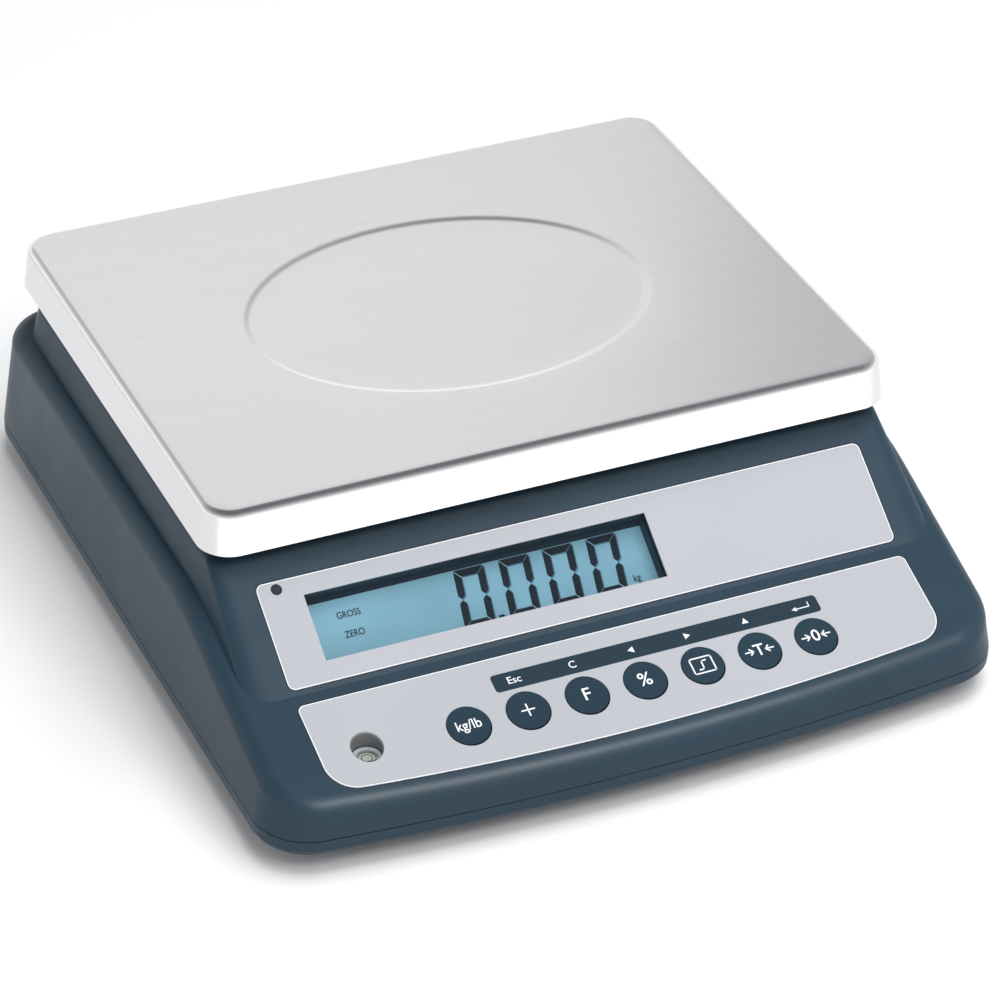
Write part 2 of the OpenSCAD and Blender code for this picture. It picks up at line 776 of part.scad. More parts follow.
module dc_jack() {
    color("black") on_back_wall(-108, 38) {
        difference() {
            union() {
                translate([0, 0, -3.4]) cylinder(h = 4, r = 4);
                translate([-5.5, -5.5, -15]) cube([11, 11, 11.6]);
            }
            translate([0, 0, -10]) cylinder(h = 12, r = 2.9);
        }
        translate([0, 0, -10.5]) cylinder(h = 9, r = 1);
    }
}

module power_switch_body() {
    color("black") on_back_wall(-70, 38) difference() {
        union() {
            translate([0, 0, 0.9]) cube([22, 16, 1.5], center = true);
            translate([0, 0, -7.5]) cube([19, 13, 17], center = true);
        }
        cube([15.4, 10.4, 12], center = true);
        rocker_pin(pin_r + fit, 12);
    }
}

// The rocker turns about a pin along its short side, and rests tipped to its off side
rocker_rest = 9;
pin_r = 1.2;
pin_n = -1;

module rocker_pin(r, length) {
    translate([0, 0, pin_n]) rotate([90, 0, 0]) translate([0, 0, -length / 2]) cylinder(h = length, r = r);
}

module power_rocker() {
    color([0.1, 0.1, 0.11]) on_back_wall(-70, 38) {
        translate([0, 0, pin_n]) rotate([0, rocker_rest, 0]) rotate([90, 0, 0])
            translate([0, 0, -4.6]) linear_extrude(9.2)
            polygon([[-7.1, 0], [-6.8, 3.6], [0, 2.2], [6.8, 3.6], [7.1, 0], [3, -3.4], [-3, -3.4]]);
        rocker_pin(pin_r, 11.6);
    }
}

module housing_screws() {
    color(zinc) for (p = SCREW_POSTS) translate([p[0], p[1], foot_gap + 0.2]) {
        cylinder(h = 2, r = 3.2);
        cylinder(h = min(16, p[2] - foot_gap - 4), r = 1.5);
    }
}

// ---------- Levelling feet ----------

module foot_bushes() {
    color([0.8, 0.68, 0.35]) at_feet() translate([0, 0, foot_gap + 0.5]) difference() {
        cylinder(h = boss_top_z - foot_gap - 0.5, r = 5);
        translate([0, 0, -1]) cylinder(h = 30, r = stud_d / 2 + fit);
    }
}

module foot_pad(x, y) {
    color(rubber_black) translate([x, y, 0]) difference() {
        union() {
            cylinder(h = 2, r = pad_d / 2);
            translate([0, 0, 2]) cylinder(h = 1.4, r1 = pad_d / 2 - 0.6, r2 = 7, $fn = 48);
        }
        translate([0, 0, 1.2]) cylinder(h = 4, r = 2 + fit);
    }
}

module foot_stud(x, y) {
    knurls = 18;
    color(zinc) translate([x, y, 0]) {
        translate([0, 0, 1.3]) cylinder(h = 3, r = 2);
        difference() {
            translate([0, 0, 4]) cylinder(h = 3.2, r = 10);
            for (k = [0:knurls - 1]) rotate(k * 360 / knurls) translate([10.6, 0, 3])
                cylinder(h = 6, r = 1.2, $fn = 16);
        }
        translate([0, 0, 7]) cylinder(h = 19, r = stud_d / 2);
    }
}

module foot_pad_front_left() { foot_pad(-foot_x, foot_front_y); }
module foot_stud_front_left() { foot_stud(-foot_x, foot_front_y); }
module foot_pad_front_right() { foot_pad(foot_x, foot_front_y); }
module foot_stud_front_right() { foot_stud(foot_x, foot_front_y); }
module foot_pad_back_left() { foot_pad(-foot_x, foot_back_y); }
module foot_stud_back_left() { foot_stud(-foot_x, foot_back_y); }
module foot_pad_back_right() { foot_pad(foot_x, foot_back_y); }
module foot_stud_back_right() { foot_stud(foot_x, foot_back_y); }

// ---------- Assembly ----------

bottom_tray();
top_housing();
display_overlay();
key_overlay();
display_window();
lcd_panel();
lcd_backlight();
display_board();
display_board_screws();
indicator_led();
key_board();
key_board_screws();
key_switches();
key_unit();
key_plus();
key_function();
key_percent();
key_sample();
key_tare();
key_zero();
level_vial();
vial_liquid_bubble();
main_board();
board_components();
board_screws();
buzzer();
ribbon_cable();
load_cell();
load_cell_pedestal();
load_cell_lower_bolts();
load_cell_upper_bolts();
load_cell_cable();
platform_post();
spider();
spider_screws();
pan_buffers();
overload_stops();
weighing_pan();
battery();
battery_pad();
battery_cover();
battery_cover_screws();
battery_leads();
power_switch_body();
power_rocker();
dc_jack();
housing_screws();
foot_bushes();
foot_pad_front_left();
foot_stud_front_left();
foot_pad_front_right();
foot_stud_front_right();
foot_pad_back_left();
foot_stud_back_left();
foot_pad_back_right();
foot_stud_back_right();
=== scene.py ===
import json
import math

import bmesh
import bpy
from mathutils import Matrix, Vector


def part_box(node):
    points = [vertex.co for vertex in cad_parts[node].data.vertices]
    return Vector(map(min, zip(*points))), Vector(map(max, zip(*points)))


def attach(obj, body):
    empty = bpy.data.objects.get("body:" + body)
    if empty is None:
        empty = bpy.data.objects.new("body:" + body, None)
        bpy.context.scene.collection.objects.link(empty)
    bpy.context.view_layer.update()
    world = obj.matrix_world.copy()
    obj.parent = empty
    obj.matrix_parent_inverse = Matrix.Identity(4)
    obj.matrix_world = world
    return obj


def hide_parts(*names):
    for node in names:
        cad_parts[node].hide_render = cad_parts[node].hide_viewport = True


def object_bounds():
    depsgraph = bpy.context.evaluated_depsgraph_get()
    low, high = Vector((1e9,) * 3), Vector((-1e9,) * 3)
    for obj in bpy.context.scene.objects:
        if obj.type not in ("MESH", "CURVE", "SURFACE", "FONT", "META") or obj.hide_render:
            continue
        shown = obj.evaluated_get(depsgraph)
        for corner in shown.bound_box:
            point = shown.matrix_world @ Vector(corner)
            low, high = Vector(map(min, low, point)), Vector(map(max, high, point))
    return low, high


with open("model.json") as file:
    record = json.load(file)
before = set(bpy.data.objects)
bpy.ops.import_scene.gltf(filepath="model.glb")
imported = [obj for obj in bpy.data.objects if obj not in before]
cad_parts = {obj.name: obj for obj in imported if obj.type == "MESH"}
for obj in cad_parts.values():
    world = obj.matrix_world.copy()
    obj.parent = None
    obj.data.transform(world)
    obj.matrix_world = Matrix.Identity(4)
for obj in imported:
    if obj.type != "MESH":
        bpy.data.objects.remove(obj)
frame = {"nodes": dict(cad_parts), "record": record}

MM = 0.001
CAD_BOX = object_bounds()

# ---------- Places taken from the frame ----------

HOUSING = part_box("top_housing")
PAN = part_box("weighing_pan")
KEYS = ["key_unit", "key_plus", "key_function", "key_percent", "key_sample", "key_tare", "key_zero"]
FEET = ["front_left", "front_right", "back_left", "back_right"]


def middle(node):
    low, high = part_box(node)
    return (low + high) / 2


# Both front slopes start from one fold across the housing
KEY_TILT = math.radians(19)
DISPLAY_TILT = math.radians(34.5)
FOLD = Vector((0, HOUSING[0].y + 57 * MM, HOUSING[0].z + 31.1 * MM))


def slope_frame(tilt):
    return Matrix.Translation(FOLD) @ Matrix.Rotation(tilt, 4, "X")


KEY_SLOPE = slope_frame(KEY_TILT)
DISPLAY_SLOPE = slope_frame(DISPLAY_TILT)

# ---------- Sizes that several pieces share ----------

HOUSING_WALL = 2.8 * MM
NOSE_BOW = 1250 * MM  # radius of the housing's bowed front and of the key film's lower edge
REAR_LEAN = math.atan(10 / 42.5)  # the rear wall leans in by 10 mm over a height of 42.5 mm
REAR_HEIGHT = 38 * MM  # height of the inlet and the switch
FILM_W, FILM_RECESS, FILM_GAP = 265 * MM, 0.5 * MM, 0.45 * MM
WINDOW_H, WINDOW_V = 28.1 * MM, 25.25 * MM
VIAL_BORE = 6.6 * MM
AXIS = 0.1 * MM  # smallest radius of a turned shape, so that its end keeps a ring

# ---------- Material helpers ----------


def new_material(name, colour, roughness, **sockets):
    """A principled material; sockets names further inputs with constant values."""
    material = bpy.data.materials.new(name)
    material.use_nodes = True
    shader = material.node_tree.nodes["Principled BSDF"]
    shader.inputs["Base Color"].default_value = (*colour, 1)
    shader.inputs["Roughness"].default_value = roughness
    for key, value in sockets.items():
        shader.inputs[key.replace("_", " ")].default_value = value
    return material


def add_node(material, kind, **settings):
    node = material.node_tree.nodes.new(kind)
    for key, value in settings.items():
        if key in node.inputs:
            node.inputs[key].default_value = value
        else:
            setattr(node, key, value)
    return node


def link(material, source, target):
    material.node_tree.links.new(source, target)


def object_noise(material, scale, detail=2.0, stretch=(1, 1, 1)):
    """Noise in object space; stretch scales the coordinates, so a small number draws a long grain."""
    coordinates = add_node(material, "ShaderNodeTexCoord")
    mapping = add_node(material, "ShaderNodeMapping", Scale=stretch)
    noise = add_node(material, "ShaderNodeTexNoise", Scale=scale, Detail=detail)
    link(material, coordinates.outputs["Object"], mapping.inputs["Vector"])
    link(material, mapping.outputs["Vector"], noise.inputs["Vector"])
    return noise.outputs["Fac"]


def shader_input(material, name):
    return material.node_tree.nodes["Principled BSDF"].inputs[name]


def vary_colour(material, factor, dark, light, low=0.35, high=0.65, socket="Base Color"):
    ramp = add_node(material, "ShaderNodeValToRGB")
    ramp.color_ramp.elements[0].position = low
    ramp.color_ramp.elements[1].position = high
    ramp.color_ramp.elements[0].color = (*dark, 1)
    ramp.color_ramp.elements[1].color = (*light, 1)
    link(material, factor, ramp.inputs["Fac"])
    link(material, ramp.outputs["Color"], shader_input(material, socket))


def vary_roughness(material, factor, low, high):
    spread = add_node(material, "ShaderNodeMapRange")
    spread.inputs["To Min"].default_value = low
    spread.inputs["To Max"].default_value = high
    link(material, factor, spread.inputs["Value"])
    link(material, spread.outputs["Result"], shader_input(material, "Roughness"))


def add_bump(material, height, strength, distance):
    bump = add_node(material, "ShaderNodeBump", Strength=strength, Distance=distance)
    link(material, height, bump.inputs["Height"])
    link(material, bump.outputs["Normal"], shader_input(material, "Normal"))


def shade(colour, factor):
    return tuple(min(1, c * factor) for c in colour)


# ---------- Materials ----------


def moulded_plastic(name, colour, roughness=0.38, grain=1.0):
    """Injection-moulded shell: fine spark-eroded grain and slight unevenness in colour and sheen."""
    material = new_material(name, colour, roughness, Specular_IOR_Level=0.17)
    vary_colour(material, object_noise(material, 9, 3), shade(colour, 0.94), shade(colour, 1.06))
    vary_roughness(material, object_noise(material, 60, 2), roughness - 0.05, roughness + 0.07)
    add_bump(material, object_noise(material, 2600, 2), 0.25 * grain, 0.00012)
    return material


def printed_film(name, colour):
    """Polycarbonate overlay, printed on the back, with a fine velvet texture."""
    material = new_material(name, colour, 0.38, Specular_IOR_Level=0.45)
    vary_colour(material, object_noise(material, 7, 2), shade(colour, 0.975), shade(colour, 1.02))
    vary_roughness(material, object_noise(material, 40, 2), 0.34, 0.44)
    add_bump(material, object_noise(material, 4200, 1), 0.16, 0.00006)
    return material


def ink(name, colour, roughness=0.45):
    """Screen-printed ink: dense, with a faint mottle; also used for the painted shadow of the display
    segments.
    """
    material = new_material(name, colour, roughness, Specular_IOR_Level=0.4)
    vary_colour(material, object_noise(material, 900, 2), shade(colour, 0.93), shade(colour, 1.05))
    add_bump(material, object_noise(material, 5000, 1), 0.1, 0.00004)
    return material


def brushed_steel(name, colour, grain_axis, roughness=0.3):
    """Steel with a long grain along one axis, in height, sheen and colour."""
    stretch = [1, 1, 1]
    stretch[grain_axis] = 0.012
    material = new_material(name, colour, roughness, Metallic=1.0)
    fine = object_noise(material, 5200, 3, stretch)
    coarse = object_noise(material, 2400, 2, stretch)
    cloud = object_noise(material, 5, 2)
    vary_colour(material, coarse, shade(colour, 0.98), shade(colour, 1.015))
    vary_roughness(material, cloud, roughness - 0.03, roughness + 0.05)
    add_bump(material, fine, 0.09, 0.00002)
    return material


def machined_metal(name, colour, roughness=0.32):
    material = new_material(name, colour, roughness, Metallic=1.0)
    vary_colour(material, object_noise(material, 300, 3), shade(colour, 0.9), shade(colour, 1.06))
    vary_roughness(material, object_noise(material, 120, 3), roughness - 0.08, roughness + 0.12)
    add_bump(material, object_noise(material, 1500, 2, (1, 1, 6)), 0.15, 0.0001)
    return material


def soft_rubber(name, colour):
    material = new_material(name, colour, 0.75, Specular_IOR_Level=0.35)
    vary_colour(material, object_noise(material, 70, 4), shade(colour, 0.8), shade(colour, 1.35))
    vary_roughness(material, object_noise(material, 160, 2), 0.62, 0.85)
    add_bump(material, object_noise(material, 1800, 3), 0.3, 0.0001)
    return material


def circuit_board(name):
    green = (0.02, 0.13, 0.06)
    material = new_material(name, green, 0.35, Coat_Weight=0.4)
    tracks = object_noise(material, 260, 1, (1, 4, 1))
    vary_colour(material, tracks, shade(green, 0.75), shade(green, 1.5), 0.47, 0.53)
    add_bump(material, tracks, 0.2, 0.00005)
    return material


def clear_plastic(name, tint=(1, 1, 1), alpha=0.12):
    """Thin clear sheet: mostly seen through, with a sharp gloss."""
    material = new_material(name, tint, 0.06, Alpha=alpha, IOR=1.49)
    vary_roughness(material, object_noise(material, 20, 2), 0.04, 0.09)
    add_bump(material, object_noise(material, 30, 1), 0.05, 0.0001)
    return material


def lit_lcd(name):
    """Back-lit display glass: pale blue, brighter where the light bar sits."""
    blue = (0.165, 0.335, 0.43)
    material = new_material(name, blue, 0.22, Specular_IOR_Level=0.5, Emission_Strength=0.24)
    cloud = object_noise(material, 14, 2, (1, 1.6, 1))
    vary_colour(material, cloud, shade(blue, 0.9), shade(blue, 1.12))
    vary_colour(material, cloud, (0.16, 0.36, 0.48), (0.30, 0.55, 0.68), 0, 1, "Emission Color")
    return material


SLATE = (0.022, 0.045, 0.066)
SILVER = (0.43, 0.44, 0.475)
STEEL = (0.74, 0.745, 0.75)

MATERIALS = {
    "housing": moulded_plastic("Slate housing plastic", SLATE),
    "overlay": printed_film("Silver printed film", SILVER),
    "keys": moulded_plastic("Slate key plastic", shade(SLATE, 0.92), 0.36, 0.7),
    "window": clear_plastic("Clear window", (0.03, 0.035, 0.04), 0.06),
    "lcd": lit_lcd("Back-lit display glass"),
    "backlight": moulded_plastic("Diffuser plastic", (0.78, 0.80, 0.82), 0.5),
    "board": circuit_board("Circuit board"),
    "components": moulded_plastic("Black component plastic", (0.018, 0.018, 0.02), 0.45),
    "indicator": moulded_plastic("Tinted lens", (0.035, 0.038, 0.055), 0.16, 0.2),
    "screws": machined_metal("Zinc-plated steel", (0.60, 0.60, 0.57)),
    "studs": machined_metal("Zinc-plated stud", (0.62, 0.62, 0.60), 0.28),
    "brass": machined_metal("Turned brass", (0.72, 0.52, 0.22), 0.3),
    "vial": moulded_plastic("Vial rim", (0.42, 0.44, 0.47), 0.25, 0.3),
    "vial_liquid": clear_plastic("Vial liquid", (0.62, 0.70, 0.62), 0.55),
    "ribbon": moulded_plastic("Ribbon cable", (0.30, 0.30, 0.32), 0.5),
    "leads": soft_rubber("Lead sheath", (0.03, 0.03, 0.033)),
    "alloy": machined_metal("Machined aluminium", (0.62, 0.63, 0.65), 0.36),
    "rubber": soft_rubber("Black rubber", (0.014, 0.014, 0.015)),
    "pan_steel": brushed_steel("Brushed pan steel", STEEL, 0, 0.25),
    "battery": moulded_plastic("Battery case", (0.035, 0.037, 0.04), 0.5),
    "switch_plastic": moulded_plastic("Black switch plastic", (0.012, 0.012, 0.014), 0.35, 0.5),
}
WHITE_INK = ink("White ink", (0.82, 0.83, 0.85))
DARK_INK = ink("Dark slate ink", shade(SLATE, 0.8))
SEGMENT_INK = ink("Display segments", (0.012, 0.020, 0.030), 0.3)
# Painted shadow: a paler copy of the segments, offset on the glass, stands in for the shade they cast on the
# display's back.
PAINTED_SEGMENT_SHADOW = ink("Display segment shadow", (0.075, 0.16, 0.22), 0.3)
EDGE_WHITE = ink("Film edge", (0.80, 0.81, 0.83))

# ---------- Mesh helpers ----------


def add_object(name, data):
    made = bpy.data.objects.new(name, data)
    bpy.context.scene.collection.objects.link(made)
    return made


def mesh_data(name, mesh):
    """Mesh data from a bmesh, with its normals outwards."""
    bmesh.ops.recalc_face_normals(mesh, faces=mesh.faces)
    data = bpy.data.meshes.new(name)
    mesh.to_mesh(data)
    mesh.free()
    return data


def new_piece(name, mesh, material, body, smooth_angle=35):
    """Turns a bmesh into a piece that rides on a body, in the material it is given."""
    data = mesh_data(name, mesh)
    data.materials.append(material)
    data.shade_smooth()
    data.set_sharp_from_angle(angle=math.radians(smooth_angle))
    piece = add_object(name, data)
    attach(piece, body)
    return piece


def ring(mesh, points):
    return [mesh.verts.new(p) for p in points]


def bridge(mesh, first, second):
    count = len(first)
    for i in range(count):
        j = (i + 1) % count
        mesh.faces.new((first[i], first[j], second[j], second[i]))


def skin(mesh, rings, open_start=False):
    """Joins neighbouring rings and closes the ends, or only the last one."""
    for first, second in zip(rings, rings[1:]):
        bridge(mesh, first, second)
    if not open_start:
        mesh.faces.new(rings[0])
    mesh.faces.new(rings[-1])


def wrap(mesh, rings):
    """Joins neighbouring rings, and the last one to the first."""
    for first, second in zip(rings, rings[1:] + rings[:1]):
        bridge(mesh, first, second)


def lathe(mesh, profile, place, count=64):
    """Revolves (radius, height) levels round local Z; a radius may be a function of the angle."""
    rings = []
    for radius, height in profile:
        points = []
        for k in range(count):
            a = math.tau * k / count
            r = radius(a) if callable(radius) else radius
            points.append(place @ Vector((r * math.cos(a), r * math.sin(a), height)))
        rings.append(ring(mesh, points))
    skin(mesh, rings)


def circle_outline(radius, count=48):
    turn = [math.tau * k / count for k in range(count)]
    return [(radius * math.cos(a), radius * math.sin(a)) for a in turn]


def shifted(outline, x, y):
    return [(px + x, py + y) for px, py in outline]


def arc_points(cx, cy, r, start, steps):
    """A quarter circle from an angle in degrees, without its last point."""
    turn = [math.radians(start + 90 * k / steps) for k in range(steps)]
    return [(cx + r * math.cos(a), cy + r * math.sin(a)) for a in turn]


def run_points(a, b, steps):
    """A straight run, without its last point."""
    return [(a[0] + (b[0] - a[0]) * k / steps, a[1] + (b[1] - a[1]) * k / steps) for k in range(steps)]


def rounded_outline(w, d, r, steps=8):
    """Points of a rounded rectangle centred on the origin, anticlockwise from its right side."""
    points = []
    for quarter, (sx, sy) in enumerate([(1, 1), (-1, 1), (-1, -1), (1, -1)]):
        for k in range(steps + 1):
            a = math.radians(90) * (quarter + k / steps)
            points.append((sx * (w / 2 - r) + r * math.cos(a), sy * (d / 2 - r) + r * math.sin(a)))
    return points


def slab(mesh, outline, place, low, high, edge=0.0):
    """Extrudes an outline between two local heights; edge pulls the top rim in for a soft rim."""
    centre = Vector((sum(p[0] for p in outline), sum(p[1] for p in outline))) / len(outline)
    levels = [(low, 0), (high - edge, 0), (high, edge)] if edge else [(low, 0), (high, 0)]
    rings = []
    for height, inset in levels:
        points = []
        for x, y in outline:
            away = Vector((x, y)) - centre
            pulled = Vector((x, y)) - (away.normalized() * inset if away.length else away)
            points.append(place @ Vector((pulled.x, pulled.y, height)))
        rings.append(ring(mesh, points))
    skin(mesh, rings)


def tube(mesh, outer, inner, place, low, high):
    """A straight tube between two outlines that have the same number of points."""
    levels = [(outer, low), (outer, high), (inner, high), (inner, low)]
    wrap(mesh, [ring(mesh, [place @ Vector((x, y, z)) for x, y in outline]) for outline, z in levels])


def cross_recess(reach, half_width):
    """Radius of a cross-shaped outline at an angle, for a cross-head driver."""
    def radius(a):
        off_axis = (a + math.pi / 4) % (math.pi / 2) - math.pi / 4
        return min(reach, half_width / max(abs(math.sin(off_axis)), 1e-6))
    return radius


def hexagon(corner_radius):
    def radius(a):
        off_flat = a % (math.pi / 3) - math.pi / 6
        return corner_radius * math.cos(math.pi / 6) / math.cos(off_flat)
    return radius


def knurl(base_radius, depth, count):
    return lambda a: base_radius - depth * (0.5 - 0.5 * math.cos(a * count)) ** 3


def strokes(mesh, lines, place, width, low, high):
    """Flat printed lines: each polyline becomes a chain of thin bars with round joints."""
    for line in lines:
        for start, end in zip(line, line[1:]):
            a, b = Vector(start), Vector(end)
            side = Vector((a.y - b.y, b.x - a.x)).normalized() * width / 2
            slab(mesh, [a - side, b - side, b + side, a + side], place, low, high)
        for corner in line[1:-1]:
            slab(mesh, shifted(circle_outline(width / 2, 12), *corner), place, low, high)


def lettering(name, words, size, place, low, thickness, material, body, squeeze=1.0, weight=0.007):
    """Generic printed words, centred on the placing matrix's origin."""
    curve = bpy.data.curves.new(name, "FONT")
    curve.body = words
    curve.size = size
    curve.align_x = "CENTER"
    curve.align_y = "CENTER"
    curve.extrude = thickness / 2
    curve.offset = size * weight
    curve.resolution_u = 6
    source = add_object(name + ".source", curve)
    bpy.context.view_layer.update()
    data = bpy.data.meshes.new_from_object(source.evaluated_get(bpy.context.evaluated_depsgraph_get()))
    bpy.data.objects.remove(source)
    bpy.data.curves.remove(curve)
    lift = Matrix.Translation((0, 0, low + thickness / 2))
    data.transform(place @ lift @ Matrix.Diagonal((squeeze, 1, 1, 1)))
    data.materials.clear()
    data.materials.append(material)
    piece = add_object(name, data)
    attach(piece, body)
    return piece


def at(slope, x, v, n=0.0, turn=0.0):
    """Placing matrix at x, v on a slope, n above it, in millimetres."""
    return slope @ Matrix.Translation((x * MM, v * MM, n * MM)) @ Matrix.Rotation(turn, 4, "Z")


def mm(points):
    return [(x * MM, y * MM) for x, y in points]


# ---------- Finishes of the CAD nodes ----------


def break_edges(piece, width, segments, angle):
    bevel = piece.modifiers.new("Broken edges", "BEVEL")
    bevel.width = width * MM
    bevel.segments = segments
    bevel.limit_method = "ANGLE"
    bevel.angle_limit = math.radians(angle)
    return bevel


def finish_cad_nodes():
    """Every CAD node that stays gets its slot's material, smooth rounded faces and slightly broken edges."""
    edge_break = {"housing": 0.35, "overlay": 0.12, "alloy": 0.5, "battery": 1.2, "switch_plastic": 0.25,
                  "components": 0.25, "backlight": 0.2}
    for row in frame["record"]["subparts"]:
        node = frame["nodes"][row["node"]]
        node.data.materials.clear()
        node.data.materials.append(MATERIALS[row["material_slot"]])
        node.data.shade_smooth()
        node.data.set_sharp_from_angle(angle=math.radians(28))
        bevel = break_edges(node, edge_break.get(row["material_slot"], 0.1), 3, 40)
        bevel.use_clamp_overlap = True
        bevel.harden_normals = True


# ---------- Upper housing ----------


def smooth_min(a, b, width):
    share = min(1, max(0, 0.5 + 0.5 * (b - a) / width))
    return b + (a - b) * share - width * share * (1 - share)


class HousingForm:
    """The upper shell's outside: a lower tier with a nose and shoulders, and a raised tier under the pan."""

    half_w = HOUSING[1].x
    front, back = HOUSING[0].y, HOUSING[1].y
    seam, deck = HOUSING[0].z, HOUSING[1].z
    shoulder = deck - 16 * MM
    corner = 24 * MM
    side_lean, front_lean, back_lean = 2.6 * MM, 0.8 * MM, 10 * MM
    edge_radius = 7 * MM
    tier_foot_x, tier_top_x = 150.2 * MM, 146.5 * MM
    tier_back, tier_edge = 148.6 * MM, 2.6 * MM
    arc_steps, side_steps, front_steps, back_steps = 14, 46, 48, 30

    def bow_y(self, x):
        return self.front + NOSE_BOW - math.sqrt(NOSE_BOW ** 2 - x ** 2)

    def top(self, y):
        """Height of the lower tier's top: the key slope, easing into the level shoulder."""
        key_plane = FOLD.z + (y - FOLD.y) * math.tan(KEY_TILT)
        return smooth_min(key_plane, self.shoulder, 5 * MM)

    def plan(self, half, front_y, back_y, corner_front, corner_back):
        """Points round a rectangle with round corners, from its front left, as (x, y)."""
        fx, bx = half - corner_front, half - corner_back
        low, high = front_y + corner_front, back_y - corner_back
        return (run_points((-fx, front_y), (fx, front_y), self.front_steps)
                + arc_points(fx, low, corner_front, -90, self.arc_steps)
                + run_points((half, low), (half, high), self.side_steps)
                + arc_points(bx, high, corner_back, 0, self.arc_steps)
                + run_points((bx, back_y), (-bx, back_y), self.back_steps)
                + arc_points(-bx, high, corner_back, 90, self.arc_steps)
                + run_points((-half, high), (-half, low), self.side_steps)
                + arc_points(-fx, low, corner_front, 180, self.arc_steps))

    def outline(self, inset, lean_side, lean_front, lean_back, corner):
        """Plan of the lower tier with its bowed front, inset from the seam, as (x, y)."""
        half = self.half_w - (lean_side + inset)
        front, back_y = lean_front + inset, self.back - (lean_back + inset)
        points = self.plan(half, self.bow_y(half - corner) + front, back_y, corner, corner)
        bowed = [(x, self.bow_y(x) + front) for x, y in points[:self.front_steps]]
        return bowed + points[self.front_steps:]

    def leaning(self, inset):
        """Plan at the shoulder, where the walls have leant in."""
        return self.outline(inset, self.side_lean, self.front_lean, self.back_lean, self.corner - MM - inset)

    def tier_outline(self, height):
        """Plan of the raised tier where its walls pass a height; the front follows the display slope."""
        share = (height - self.shoulder) / (self.deck - self.shoulder)
        half = self.tier_foot_x + (self.tier_top_x - self.tier_foot_x) * min(1, max(-0.6, share))
        return half, self.tier_back - share * 0.6 * MM

    def tier_loop(self, inset, drop, wall=0.0, foot=False):
        """Loop round the raised tier, drop under the deck; foot lays it on the lower tier's top instead."""
        z_top = self.deck - drop
        half, back_y = self.tier_outline(self.shoulder if foot else z_top)
        half -= inset
        back_y -= inset
        slope_shift = wall / math.sin(DISPLAY_TILT) - wall
        front_y = FOLD.y + (z_top - FOLD.z) / math.tan(DISPLAY_TILT) + inset + slope_shift
        corner_front, corner_back = 6 * MM - inset, 14 * MM - inset
        if foot:
            front_y = FOLD.y + 0.3 * MM + wall
            corner_front = 12 * MM
        corner_front = max(corner_front, 0.6 * MM)
        points = self.plan(half, front_y, back_y, corner_front, corner_back)
        if foot:
            return [self.on_lower_top(x, y, wall) for x, y in points]
        return [Vector((x, y, z_top)) for x, y in points]

    def on_lower_top(self, x, y, wall=0.0):
        return Vector((x, y, self.top(y) - wall))

    def loops(self, wall=0.0):
        """Loops from the seam to the deck: the outside, or the inside at a wall's depth."""
        r = self.edge_radius
        seam = self.outline(wall, 0, 0, 0, self.corner - wall)
        shoulder = self.leaning(wall)
        found = [[Vector((x, y, self.seam)) for x, y in seam]]
        rim = [Vector((x, y, self.top(y) - r)) for x, y in shoulder]
        for share in (0.04, 0.5, 0.96):
            found.append([a.lerp(b, share) for a, b in zip(found[0], rim)])
        round_off = r - wall
        for k in range(11):
            a = math.radians(9 * k)
            inset, drop = wall + round_off * (1 - math.cos(a)), wall + round_off * (1 - math.sin(a))
            found.append([Vector((x, y, self.top(y) - drop)) for x, y in self.leaning(inset)])
        ledge = found[-1]
        foot = self.tier_loop(wall, wall, wall, foot=True)
        for share in (0.25, 0.5, 0.75, 0.93):
            found.append([self.on_lower_top(*a.lerp(b, share).xy, wall) for a, b in zip(ledge, foot)])
        found.append(foot)
        edge = self.tier_edge
        brow = self.tier_loop(wall, edge + wall, wall)
        for share in (0.05, 0.5, 0.96):
            found.append([a.lerp(b, share) for a, b in zip(foot, brow)])
        for k in range(10):
            a = math.radians(10 * k)
            inset, drop = wall + edge * (1 - math.cos(a)), wall + edge * (1 - math.sin(a))
            found.append(self.tier_loop(inset, drop, wall))
        return found


def key_film_outline(grow):
    """Outline of the key film: straight top, bowed bottom edge, large bottom corners."""
    top_r, low_r = 3 * MM + grow, 13 * MM + grow
    half = FILM_W / 2 + grow
    top, low = -4.5 * MM + grow, -51.8 * MM - grow
    edge_steps, corner_steps = 24, 12

    def low_y(x):
        return low + NOSE_BOW - math.sqrt(NOSE_BOW ** 2 - x ** 2)

    reach, inner_top = half - low_r, half - top_r
    side_y = low_y(reach) + low_r
    points = []
    for k in range(edge_steps + 1):
        x = -reach + 2 * reach * k / edge_steps
        points.append((x, low_y(x)))
    for cx, cy, r, start in ((reach, side_y, low_r, -90), (inner_top, top - top_r, top_r, 0),
                             (-inner_top, top - top_r, top_r, 90), (-reach, side_y, low_r, 180)):
        points += arc_points(cx, cy, r, start, corner_steps)[1:]
    return points


def display_film_outline(grow):
    return shifted(rounded_outline(FILM_W + 2 * grow, 44.6 * MM + 2 * grow, 3 * MM + grow), 0, 25 * MM)


def back_wall_frame(node):
    """Frame on the leaning rear wall behind a node: local Z points outwards, local X along the wall."""
    lean_start = HOUSING[0].z + 0.5 * MM
    y = HOUSING[1].y - (REAR_HEIGHT - lean_start) * math.tan(REAR_LEAN)
    turn = Matrix.Rotation(REAR_LEAN - math.pi / 2, 4, "X")
    return Matrix.Translation((middle(node).x, y, REAR_HEIGHT)) @ turn


def cutter(name, fill):
    """Closed solids that are cut out of the shell; fill draws them into a bmesh."""
    mesh = bmesh.new()
    fill(mesh)
    return add_object(name, mesh_data(name, mesh))


def cut(piece, tool):
    modifier = piece.modifiers.new("Cut", "BOOLEAN")
    modifier.operation = "DIFFERENCE"
    modifier.solver = "EXACT"
    modifier.object = tool
    bpy.context.view_layer.update()
    shape = bpy.data.meshes.new_from_object(piece.evaluated_get(bpy.context.evaluated_depsgraph_get()))
    piece.modifiers.clear()
    piece.data = shape
    bpy.data.objects.remove(tool)


